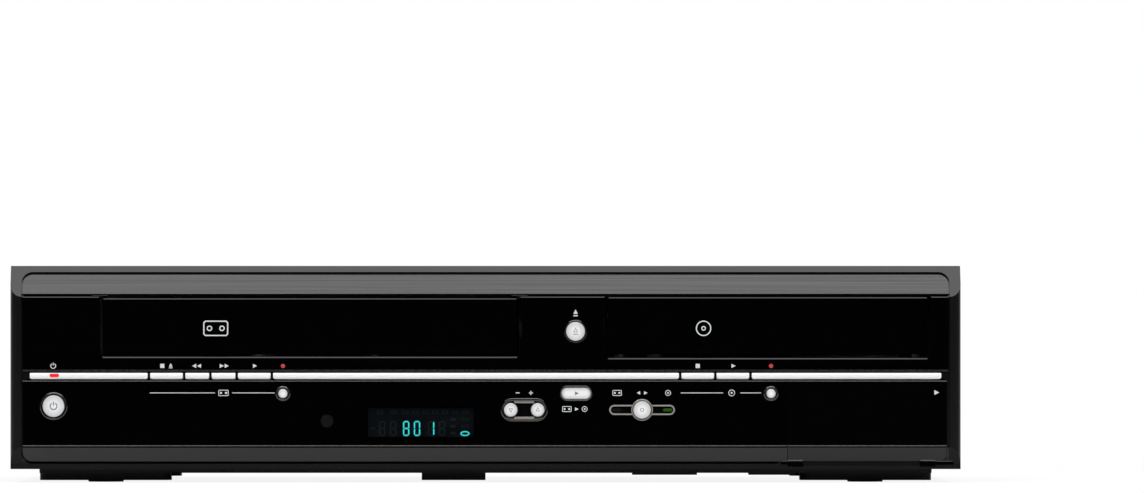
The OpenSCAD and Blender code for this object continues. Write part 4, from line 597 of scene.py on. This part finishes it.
strip_low, strip_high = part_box("chrome_strip")
hinge_pin = 3 * mm
door_left, door_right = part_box("av_door")[0].x + hinge_pin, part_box("av_door")[1].x - hinge_pin
front_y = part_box("upper_fascia")[0].y
edge_h = 0.4 * mm
fascia_left, fascia_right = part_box("upper_fascia")[0].x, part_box("upper_fascia")[1].x
lower_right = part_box("lower_fascia")[1].x
upper_gap, lower_gap, lip_gap = 0.55 * mm, 0.9 * mm, 0.6 * mm
above_strip, below_strip, over_lip = strip_high.z + upper_gap, strip_low.z - lower_gap, lip_high + lip_gap
# Painted highlights: these pale bars stand for light caught by the edges, and the one above the strip is
# dimmer.
pale_edge_highlight = finish("pale_edge_highlight", (0.07, 0.066, 0.06), (0.12, 0.112, 0.104), 700, (0.2, 0.35))
dim_edge_highlight = finish("dim_edge_highlight", (0.012, 0.012, 0.013), (0.02, 0.02, 0.021), 700, (0.2, 0.35))


def highlight_line(x0, x1, z, high):
    return bar((x0 + x1) / 2, z, x1 - x0, high, front_y)


upper_edge_highlight = highlight_line(fascia_left, fascia_right, above_strip, 2 * edge_h)
settle(upper_edge_highlight, "upper_fascia_edge_highlight", "deck", dim_edge_highlight)
lower_edge_highlights = [highlight_line(fascia_left, lower_right, z, edge_h) for z in (below_strip, over_lip)]
settle(join_up(lower_edge_highlights), "lower_fascia_edge_highlights", "deck", pale_edge_highlight)
door_edge_highlights = [highlight_line(door_left, door_right, z, edge_h) for z in (below_strip, over_lip)]
settle(join_up(door_edge_highlights), "door_edge_highlights", "input_door", pale_edge_highlight)


# Strip across the front and its keys: half-round plastic with a bright silver plating, and painted shade
# that turns its top edge black.
# The bars are glued into the joint between the fascias, and the keys move through it.
silver_plate = finish("silver_plate", (0.79, 0.79, 0.8), (0.85, 0.85, 0.86), 1500, (0.4, 0.5), metal=0.12)
plate_colour = shader_of(silver_plate).inputs["Base Color"].links[0].from_socket
# Painted shade: the top of the strip and of the keys is coloured black, for the shade where the bar turns
# into the joint.
top_shade_h, top_shade_blur, top_shade_colour = 0.7 * mm, 0.2 * mm, (0.012, 0.012, 0.012)
plate_top = strip_high.z - top_shade_h
top_shade = rise(silver_plate, coordinate(silver_plate, "Z"), plate_top, plate_top + top_shade_blur)
link(silver_plate, blend_colours(silver_plate, top_shade, plate_colour, top_shade_colour),
     shader_of(silver_plate).inputs["Base Color"])
dress(silver_plate, "chrome_strip", "tape_stop_button", "tape_rewind_button", "tape_forward_button",
      "tape_play_button", "disc_stop_button", "disc_play_button")


# Button rings and pill-shaped surrounds: plated plastic, set into the fascias from the front.
# The rings have a dark chrome plating, the surrounds a warm bright one, with black floors in their recesses.
def middle_z(node):
    low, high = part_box(node)
    return (low.z + high.z) / 2


dark_plate, warm_plate, floor_black = (0.15, 0.146, 0.14), (0.5, 0.47, 0.43), (0.002, 0.002, 0.002)
dark_metal, warm_metal = 1.0, 0.55
channel_reach, select_shift, select_reach = 4.5 * mm, 10 * mm, 29 * mm
floor_in = 0.4 * mm
plating = finish("plating", dark_plate, warm_plate, 900, (0.1, 0.18), metal=dark_metal)
channel_x = (middle_x("channel_down_button") + middle_x("channel_up_button")) / 2
between_channels = within(plating, "X", channel_x, channel_reach)
by_select = within(plating, "X", middle_x("select_button") - select_shift, select_reach)
bright = maths(plating, "MAXIMUM", between_channels, by_select)
bright = maths(plating, "MULTIPLY", bright, beyond(plating, "Z", strip_low.z, "LESS_THAN"))
plated = blend_colours(plating, bright, dark_plate, warm_plate)
floors = beyond(plating, "Y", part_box("lower_fascia")[0].y + floor_in)
link(plating, blend_colours(plating, floors, plated, floor_black), shader_of(plating).inputs["Base Color"])
link(plating, spread(plating, bright, dark_metal, warm_metal), shader_of(plating).inputs["Metallic"])
dress(plating, "button_rings")


def choose_points(piece, wanted):
    """Selects the points that wanted() says yes to, and stays in edit mode."""
    only(piece)
    bpy.ops.object.mode_set(mode="EDIT")
    bpy.ops.mesh.select_mode(type="VERT")
    bpy.ops.mesh.select_all(action="DESELECT")
    bpy.ops.object.mode_set(mode="OBJECT")
    for point in piece.data.vertices:
        point.select = wanted(point.co)
    bpy.ops.object.mode_set(mode="EDIT")


def pill_bead(x, z, wide, high, face_y, line, proud):
    """Rounded bead along the outline of a pill."""
    corners = 64
    bpy.ops.mesh.primitive_circle_add(vertices=corners, radius=high / 2, fill_type="NGON",
                                      rotation=(math.pi / 2, math.pi / corners, 0))
    bead = bpy.context.object
    apply_place(bead)
    for side in (-1, 1):
        choose_points(bead, lambda place: place.x * side > 0)
        bpy.ops.transform.translate(value=(side * (wide - high) / 2, 0, 0))
        bpy.ops.object.mode_set(mode="OBJECT")
    bead.location = (x, face_y, z)
    apply_place(bead)
    bpy.ops.object.mode_set(mode="EDIT")
    bpy.ops.mesh.select_mode(type="FACE")
    bpy.ops.mesh.select_all(action="SELECT")
    bpy.ops.mesh.inset(thickness=line)
    bpy.ops.mesh.delete(type="FACE")
    bpy.ops.mesh.select_all(action="SELECT")
    push(y=-proud)
    bpy.ops.object.mode_set(mode="OBJECT")
    bead_round = 0.4 * min(line, proud)
    soften(bead, bead_round)
    return bead


dark_chrome = finish("dark_chrome", (0.13, 0.126, 0.12), (0.17, 0.165, 0.158), 900, (0.1, 0.18), metal=1.0)
dub_x = middle_x("dubbing_button")
channel_y, dub_y = front_y - 0.3 * mm, front_y - 0.6 * mm
beads = [pill_bead(channel_x, middle_z("channel_up_button"), wide=21.4 * mm, high=10.5 * mm,
                   face_y=channel_y, line=1.2 * mm, proud=0.6 * mm),
         pill_bead(dub_x, middle_z("dubbing_button"), wide=14.8 * mm, high=6.9 * mm,
                   face_y=dub_y, line=0.45 * mm, proud=0.3 * mm)]
settle(join_up(beads), "pill_beads", "deck", dark_chrome)


# Round buttons and the dubbing button: plastic with a pearl silver lacquer under a clear coat, turned to a
# fine concentric grain, with painted shade that greys each face towards its edge, and a darker edge.
# Each is moulded in one piece with the stem behind it.
def pearl_face(node, face_r, edge, half_l=0.0):
    """Lacquer of a button whose pale face has radius face_r, or is a pill drawn out by half_l each way."""
    material = finish(node + "_lacquer", edge, edge, 5000, (0.26, 0.36), metal=0.15)
    shader = shader_of(material)
    shader.inputs["Coat Weight"].default_value = 0.4
    place = past_box(material, (middle_x(node), middle_z(node)), (half_l, 0))
    turning = add(material, "TexNoise", Scale=4000.0, Detail=2.0)
    turning.noise_dimensions = "1D"
    link(material, place, turning.inputs["W"])
    pearl_low, pearl_high, rim_shade_colour = (0.8, 0.8, 0.81), (0.88, 0.88, 0.89), (0.5, 0.5, 0.51)
    rim_start, rim_end, edge_blur = 0.35 * face_r, 1.1 * face_r, 0.25 * mm
    pearl = blend_colours(material, turning.outputs["Fac"], pearl_low, pearl_high)
    # Painted shade: the pale face greys from near its middle towards its edge, as a domed cap is shaded.
    rim = rise(material, place, rim_start, rim_end)
    pearl = blend_colours(material, rim, pearl, rim_shade_colour)
    past = rise(material, place, face_r, face_r + edge_blur)
    link(material, blend_colours(material, past, pearl, edge), shader.inputs["Base Color"])
    dress(material, node)


dark_rim, warm_rim = (0.012, 0.012, 0.0125), (0.16, 0.15, 0.14)
face_sizes = {"power_button": 4.75 * mm, "open_close_button": 4.1 * mm,
              "tape_record_button": 2.0 * mm, "disc_record_button": 2.0 * mm,
              "channel_down_button": 3.0 * mm, "channel_up_button": 3.0 * mm}
for node, face_r in face_sizes.items():
    pearl_face(node, face_r, dark_rim)
pearl_face("select_button", face_r=3.75 * mm, edge=warm_rim)
pearl_face("dubbing_button", face_r=2.35 * mm, edge=dark_rim, half_l=4.1 * mm)


# Display window: smoked acrylic flush with the fascia, over a fluorescent tube with a fine grid.
# The tube's dark glass shows faint unlit segments round the lit ones.
smoke = bpy.data.materials.new("smoke_window")
smoke.use_nodes = True
shader_of(smoke).inputs["Transmission Weight"].default_value = 1.0
shader_of(smoke).inputs["IOR"].default_value = 1.45
haze = add(smoke, "TexNoise", Scale=300.0)
link(smoke, place_on(smoke), haze.inputs["Vector"])
link(smoke, blend_colours(smoke, haze.outputs["Fac"], (0.38, 0.4, 0.43), (0.42, 0.44, 0.47)),
     shader_of(smoke).inputs["Base Color"])
link(smoke, spread(smoke, haze.outputs["Fac"], 0.0, 0.03), shader_of(smoke).inputs["Roughness"])
dress(smoke, "display_window")

tube_low, tube_high = (0.026, 0.036, 0.044), (0.062, 0.08, 0.094)
tube_glass = finish("tube_glass", tube_low, tube_high, 900, (0.3, 0.4))
tube_grid = add(tube_glass, "TexBrick", Scale=1200.0, Mortar_Size=0.08, Brick_Width=0.6, Row_Height=0.6)
link(tube_glass, place_on(tube_glass), tube_grid.inputs["Vector"])
link(tube_glass, blend_colours(tube_glass, tube_grid.outputs["Fac"], tube_low, tube_high),
     shader_of(tube_glass).inputs["Base Color"])
dress(tube_glass, "tube_display")

window_x, window_z = middle_x("display_window"), middle_z("display_window")
tube_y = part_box("tube_display")[0].y
digit_w, digit_h, stroke, stroke_cut = 2.3 * mm, 6.2 * mm, 0.62 * mm, 0.2 * mm
digit_z = window_z - 2.7 * mm
digit_x = [window_x + step * mm for step in (-17.5, -12.5, -6.6, -1.7, 4.7, 9.6)]
lit_signs = {2: "abcdefg", 3: "abcdef", 4: "bc"}
half_w, half_h = digit_w / 2, digit_h / 2
flat_l, upright_l = digit_w - 0.4 * mm, half_h - 0.35 * mm
strokes = {"a": (0, half_h, flat_l, stroke), "d": (0, -half_h, flat_l, stroke), "g": (0, 0, flat_l, stroke),
           "b": (half_w, half_h / 2, stroke, upright_l), "c": (half_w, -half_h / 2, stroke, upright_l),
           "e": (-half_w, -half_h / 2, stroke, upright_l), "f": (-half_w, half_h / 2, stroke, upright_l)}
lit, unlit = [], []
for index, x in enumerate(digit_x):
    for sign, (dx, dz, wide, high) in strokes.items():
        group = lit if sign in lit_signs.get(index, "") else unlit
        group.append(bar(x + dx, digit_z + dz, wide, high, tube_y, point=stroke_cut))
block_x, frame_x, oval_z = window_x + 14.6 * mm, window_x + 20 * mm, window_z - 5 * mm
dash_x, dash_w = digit_x[0] - 4.2 * mm, 1.6 * mm
lit.append(ink_shape(28, frame_x, oval_z, wide=4.2 * mm, high=2.3 * mm, face_y=tube_y, line=0.55 * mm))
unlit.append(bar(dash_x, digit_z, dash_w, stroke, tube_y))
sign_row_z = window_z + 4.6 * mm
frame_line = 0.35 * mm
for step in (-18.5, -12.2, -7.0, -2.4, 2.2, 6.6, 11.0, 15.6, 20.2):
    unlit.append(bar(window_x + step * mm, sign_row_z, wide=2.8 * mm, high=1.5 * mm, face_y=tube_y,
                     line=frame_line))
row_z = [window_z + step * mm for step in (1.4, -1.7, -4.8)]
for row, z in enumerate(row_z):
    unlit.append(bar(block_x, z, wide=2.4 * mm, high=1.2 * mm, face_y=tube_y))
    if row < 2:
        unlit.append(bar(frame_x, z, wide=3.6 * mm, high=1.4 * mm, face_y=tube_y, line=frame_line))

glow = finish("glow", (0.01, 0.1, 0.09), (0.01, 0.12, 0.11), 600, (0.5, 0.6))
shader_of(glow).inputs["Emission Color"].default_value = (0.045, 0.72, 0.66, 1)
shader_of(glow).inputs["Emission Strength"].default_value = 2.4
dim_phosphor = finish("dim_phosphor", (0.12, 0.17, 0.18), (0.16, 0.22, 0.23), 600, (0.5, 0.6))
settle(join_up(lit), "lit_digits", "deck", glow)
settle(join_up(unlit), "unlit_segments", "deck", dim_phosphor)


# Indicator lenses and receiver window: clear, red and green acrylic pins behind the front.
# The red one in the strip and the green one beside the select button are lit.
lens_low, lens_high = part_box("indicator_lenses")
clear_lens, red_lens, green_lens = (0.004, 0.004, 0.0045), (0.75, 0.012, 0.015), (0.01, 0.042, 0.004)
red_reach, green_reach = 8 * mm, 6 * mm
lens = finish("lens", clear_lens, clear_lens, 500, (0.05, 0.1))
red_part = beyond(lens, "X", lens_low.x + red_reach, "LESS_THAN")
green_part = beyond(lens, "X", lens_high.x - green_reach)
shown = blend_colours(lens, red_part, clear_lens, red_lens)
shown = blend_colours(lens, green_part, shown, green_lens)
link(lens, shown, shader_of(lens).inputs["Base Color"])
link(lens, shown, shader_of(lens).inputs["Emission Color"])
shader_of(lens).inputs["Emission Strength"].default_value = 0.7
dress(lens, "indicator_lenses")


# Front input panel and jacks behind the door: a black moulded trough with five jacks in a row.
# Coloured collars sit round the sleeves on the trough's back wall.
dress(moulded_black, "av_input_panel")
dress(nickel, "av_input_jacks")
jack_x, jack_z = middle_x("av_input_jacks"), middle_z("av_input_jacks")
jack_pitch, trough_t = 12.6 * mm, 1.5 * mm
trough_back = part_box("av_input_panel")[1].y - trough_t
input_outer, input_bore, input_proud = 11 * mm, 8.6 * mm, 1.2 * mm
input_colours = (("yellow", socket_yellow), ("white", socket_white), ("red", socket_red))
for place, (colour, plastic) in enumerate(input_colours):
    ring_x = jack_x + (place - 1) * jack_pitch
    ring = collar(ring_x, jack_z, trough_back - input_proud, trough_back, input_outer, input_bore)
    settle(ring, f"input_collar_{colour}", "deck", plastic)


# Printed signs on the fascias: thin screen-printed ink, grey-white for the keys and red for recording.
# Plain signs stand for the functions, with rules that group the keys.
pale_ink = finish("pale_ink", (0.5, 0.53, 0.51), (0.58, 0.61, 0.59), 4000, (0.45, 0.6))
red_ink = finish("red_ink", (0.4, 0.02, 0.03), (0.5, 0.03, 0.04), 4000, (0.45, 0.6))
grey_ink = finish("grey_ink", (0.16, 0.16, 0.165), (0.2, 0.2, 0.205), 4000, (0.45, 0.6))
right, left, down = math.pi / 2, -math.pi / 2, math.pi


def arrow(x, z, size, face_y, turn, **more):
    return ink_shape(3, x, z, size, size, face_y, turn=turn, **more)


def eject(x, z, size, foot_h, lift, drop, face_y, line=0.0):
    """Arrow that points up, lifted above z, over a bar dropped below z."""
    return [arrow(x, z + lift, size, face_y, 0, line=line), bar(x, z - drop, size, foot_h, face_y)]


def standby(x, z, size, face_y):
    """Ring with a gap at its top and a bar in the gap."""
    line, gap, stem_l, stem_up = 0.14 * size, 0.6, 0.5 * size, 0.32 * size
    ring = ink_shape(36, x, z, size, size, face_y, line=line, gap=gap)
    stem = bar(x, z + stem_up, line, stem_l, face_y)
    return [ring, stem]


def cassette_sign(x, z, wide, high, face_y, line, reel_line=0.0):
    """Outline of a cassette with two reels, which are dots where they have no line."""
    reel, corner, reel_step = 0.36 * high, 0.12 * high, wide / 4
    shell = bar(x, z, wide, high, face_y, line=line, point=corner)
    reels = [ink_shape(24, x + side * reel_step, z, reel, reel, face_y, line=reel_line) for side in (-1, 1)]
    return [shell, *reels]


def disc_sign(x, z, size, face_y, line, hub_line=0.0):
    """Outline of a disc with its hub, which is a dot where it has no line."""
    hub = 0.3 * size
    return [ink_shape(40, x, z, size, size, face_y, line=line),
            ink_shape(24, x, z, hub, hub, face_y, line=hub_line)]


sign_z = 52.7 * mm
sign_h = 1.9 * mm
stop_x, rewind_x = middle_x("tape_stop_button"), middle_x("tape_rewind_button")
forward_x, play_x = middle_x("tape_forward_button"), middle_x("tape_play_button")
record_x, disc_record_x = middle_x("tape_record_button"), middle_x("disc_record_button")
half_step, stop_step = 1.1 * mm, 1.9 * mm
standby_x = strip_low.x + 10.5 * mm
signs = standby(standby_x, sign_z, size=2.6 * mm, face_y=front_y)
signs.append(bar(stop_x - stop_step, sign_z, sign_h, sign_h, front_y))
signs += eject(stop_x + stop_step, sign_z, size=1.6 * mm, foot_h=0.4 * mm, lift=0.2 * mm, drop=0.85 * mm,
               face_y=front_y)
for step in (-half_step, half_step):
    signs.append(arrow(rewind_x + step, sign_z, sign_h, front_y, left))
    signs.append(arrow(forward_x + step, sign_z, sign_h, front_y, right))
signs += [arrow(play_x, sign_z, sign_h, front_y, right),
          bar(middle_x("disc_stop_button"), sign_z, sign_h, sign_h, front_y),
          arrow(middle_x("disc_play_button"), sign_z, sign_h, front_y, right)]

eject_z = 76.6 * mm
eject_x = middle_x("open_close_button")
signs += eject(eject_x, eject_z, size=2 * mm, foot_h=0.5 * mm, lift=0.3 * mm, drop=1.2 * mm, face_y=front_y)

rule_z, rule_h = 40.5 * mm, 0.32 * mm
rule_ends = ((-151.8, -122.4), (-114.6, -95.4), (88.3, 107.4), (115.2, 124.6))
for x0, x1 in rule_ends:
    signs.append(bar((x0 + x1) / 2 * mm, rule_z, (x1 - x0) * mm, rule_h, front_y))
tape_rule_x, disc_rule_x = -118.5 * mm, 111.3 * mm
signs += cassette_sign(tape_rule_x, rule_z, wide=4.6 * mm, high=2.8 * mm, face_y=front_y, line=0.3 * mm)
signs += disc_sign(disc_rule_x, rule_z, size=3 * mm, face_y=front_y, line=0.32 * mm)

channel_step, plus_l, plus_w = 3 * mm, 1.8 * mm, 0.45 * mm
plus_x = channel_x + channel_step
signs += [bar(channel_x - channel_step, rule_z, plus_l, plus_w, front_y),
          bar(plus_x, rule_z, plus_l, plus_w, front_y),
          bar(plus_x, rule_z, plus_w, plus_l, front_y)]

dub_z = 33.2 * mm
small_w, small_h, small_line, small_arrow = 4.2 * mm, 2.6 * mm, 0.3 * mm, 1.6 * mm
dub_tape_x, dub_disc_x = dub_x - 4.2 * mm, dub_x + 3.8 * mm
signs += cassette_sign(dub_tape_x, dub_z, small_w, small_h, front_y, small_line)
signs.append(arrow(dub_x, dub_z, small_arrow, front_y, right))
signs += disc_sign(dub_disc_x, dub_z, small_h, front_y, small_line)

select_x, arrow_step = middle_x("select_button"), 1.4 * mm
select_tape_x, select_disc_x = select_x - 11.3 * mm, select_x + 11.7 * mm
signs += cassette_sign(select_tape_x, rule_z, small_w, small_h, front_y, small_line)
signs += [arrow(select_x - arrow_step, rule_z, small_arrow, front_y, left),
          arrow(select_x + arrow_step, rule_z, small_arrow, front_y, right)]
signs += disc_sign(select_disc_x, rule_z, small_h, front_y, small_line)
settle(join_up(signs), "printed_signs", "deck", pale_ink)

red_dots = [ink_shape(32, x, sign_z, sign_h, sign_h, front_y) for x in (record_x, disc_record_x)]
settle(join_up(red_dots), "record_signs", "deck", red_ink)


# Signs on the moving plates: a cassette on the flap, a disc on the tray front and an arrow on the door.
# They are printed like the signs on the fascias, and move with their plates.
plate_sign_z = 69.7 * mm
flap_y, tray_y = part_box("cassette_flap")[0].y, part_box("tray_front")[0].y
flap_sign_x, tray_sign_x = -122 * mm, 98.6 * mm
door_sign_x, door_sign_z = 203.7 * mm, 40.7 * mm
cassette_mark = cassette_sign(flap_sign_x, plate_sign_z, wide=11.3 * mm, high=7 * mm, face_y=flap_y,
                              line=0.55 * mm, reel_line=0.5 * mm)
settle(join_up(cassette_mark), "cassette_sign", "flap", pale_ink)
disc_mark = disc_sign(tray_sign_x, plate_sign_z, size=7 * mm, face_y=tray_y, line=0.5 * mm,
                      hub_line=0.45 * mm)
settle(join_up(disc_mark), "disc_sign", "tray", pale_ink)
door_mark = arrow(door_sign_x, door_sign_z, size=2.2 * mm, face_y=front_y, turn=right)
settle(door_mark, "door_arrow", "input_door", pale_ink)


# Signs on the buttons: pad-printed grey outlines on the flat of each button.
# They ride on the buttons and travel with them.
def key_mark(node, parts):
    settle(join_up(parts), node + "_sign", node, grey_ink)


def key_face(node):
    """Middle of a button's face along X and Z, and its place along Y."""
    return middle_x(node), middle_z(node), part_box(node)[0].y


key_line = 0.25 * mm
x, z, y = key_face("power_button")
key_mark("power_button", standby(x, z, size=3.6 * mm, face_y=y))
x, z, y = key_face("open_close_button")
key_mark("open_close_button", eject(x, z, size=2.2 * mm, foot_h=0.35 * mm, lift=0.3 * mm, drop=1.3 * mm,
                                    face_y=y, line=key_line))
for node, turn in (("channel_down_button", down), ("channel_up_button", 0)):
    x, z, y = key_face(node)
    key_mark(node, [arrow(x, z, size=2 * mm, face_y=y, turn=turn, line=key_line)])
x, z, y = key_face("select_button")
key_mark("select_button", [ink_shape(28, x, z, wide=1.8 * mm, high=1.8 * mm, face_y=y, line=key_line)])
x, z, y = key_face("dubbing_button")
key_mark("dubbing_button", [arrow(x, z, size=1.8 * mm, face_y=y, turn=right)])


# Floor: a plain pale studio table of matt paper, which is no part of the deck.
# It keeps the deck's shadow close by, fades to white away from it, and is dimmer in reflections.
bpy.ops.mesh.primitive_grid_add(x_subdivisions=12, y_subdivisions=12, size=1)
floor = bpy.context.object
floor.name = "floor"
table_w, table_d, table_y = 8.0, 4.4, 1.5
floor.scale = (table_w, table_d, 1)
floor.location = (0, table_y, 0)
apply_place(floor)
paper = finish("paper", (0.8, 0.8, 0.8), (0.83, 0.83, 0.83), 30, (0.85, 0.95))
away = add(paper, "VectorMath")
away.operation = "LENGTH"
link(paper, place_on(paper), away.inputs[0])
fade = add(paper, "MapRange", From_Min=0.35, From_Max=1.1, To_Min=0.88)
fade.interpolation_type = "SMOOTHSTEP"
link(paper, away.outputs["Value"], fade.inputs["Value"])
rays = add(paper, "LightPath")
mirrored = (0.35, 0.35, 0.35)
paper_colour = shader_of(paper).inputs["Base Color"].links[0].from_socket
link(paper, blend_colours(paper, rays.outputs["Is Glossy Ray"], paper_colour, mirrored),
     shader_of(paper).inputs["Base Color"])
seen = maths(paper, "MULTIPLY", fade.outputs["Result"], rays.outputs["Is Camera Ray"])
white = add(paper, "Emission", Strength=1.0)
mixed = add(paper, "MixShader")
link(paper, seen, mixed.inputs["Fac"])
link(paper, shader_of(paper).outputs["BSDF"], mixed.inputs[1])
link(paper, white.outputs["Emission"], mixed.inputs[2])
link(paper, mixed.outputs["Shader"], paper.node_tree.nodes["Material Output"].inputs["Surface"])
floor.data.materials.append(paper)


# Studio light: a wide soft box overhead that the visor mirrors, one in front above the camera, and a
# dim even room. The room behind the camera is dark, so the gloss front stays black.
def soft_box(name, place, aim, wide, high, power):
    bpy.ops.object.light_add(type="AREA", location=place)
    lamp = bpy.context.object
    lamp.name = name
    lamp.data.shape = "RECTANGLE"
    lamp.data.size = wide
    lamp.data.size_y = high
    lamp.data.energy = power
    lamp.rotation_euler = (Vector(aim) - Vector(place)).to_track_quat("-Z", "Y").to_euler()
    lamp.visible_camera = False


deck_middle = (0, 0, 0.05)
soft_box("overhead", (0, -0.15, 1.5), deck_middle, wide=1.8, high=1.0, power=22)
soft_box("front_top", (0, -1.6, 1.5), deck_middle, wide=2.0, high=0.8, power=22)

world = bpy.data.worlds.new("studio")
bpy.context.scene.world = world
world.use_nodes = True
room = world.node_tree.nodes["Background"]
room.inputs["Color"].default_value = (1, 1, 1, 1)
room.inputs["Strength"].default_value = 0.5
mirror = add(world, "Background")
backdrop = add(world, "Background", Color=(1, 1, 1, 1), Strength=1.0)
direction = add(world, "SeparateXYZ")
link(world, add(world, "TexCoord").outputs["Generated"], direction.inputs["Vector"])
behind = add(world, "MapRange", From_Min=0.3, From_Max=1.0, To_Min=0.015, To_Max=0.9)
link(world, direction.outputs["Y"], behind.inputs["Value"])
link(world, behind.outputs["Result"], mirror.inputs["Strength"])
path = add(world, "LightPath")
glossy = add(world, "MixShader")
link(world, path.outputs["Is Glossy Ray"], glossy.inputs["Fac"])
link(world, room.outputs["Background"], glossy.inputs[1])
link(world, mirror.outputs["Background"], glossy.inputs[2])
camera_seen = add(world, "MixShader")
link(world, path.outputs["Is Camera Ray"], camera_seen.inputs["Fac"])
link(world, glossy.outputs["Shader"], camera_seen.inputs[1])
link(world, backdrop.outputs["Background"], camera_seen.inputs[2])
link(world, camera_seen.outputs["Shader"], world.node_tree.nodes["World Output"].inputs["Surface"])
bpy.context.scene.view_settings.view_transform = "Standard"


# Camera: far in front of the deck at about its middle height, as a long lens sees it.
# The deck stands low at the left of the picture, so the lens is shifted to the right and up.
camera_distance, camera_z = 6.0, 60 * mm
picture_w = 517.3 * mm
picture_x, picture_z = 39.1 * mm, 106.7 * mm
sensor_w = 36.0
bpy.ops.object.camera_add(location=(0, front_y - camera_distance, camera_z), rotation=(math.pi / 2, 0, 0))
camera = bpy.context.object
camera.data.sensor_width = sensor_w
camera.data.lens = sensor_w * camera_distance / picture_w
camera.data.shift_x = picture_x / picture_w
camera.data.shift_y = (picture_z - camera_z) / picture_w
view_reach = 50
camera.data.clip_end = view_reach
bpy.context.scene.camera = camera
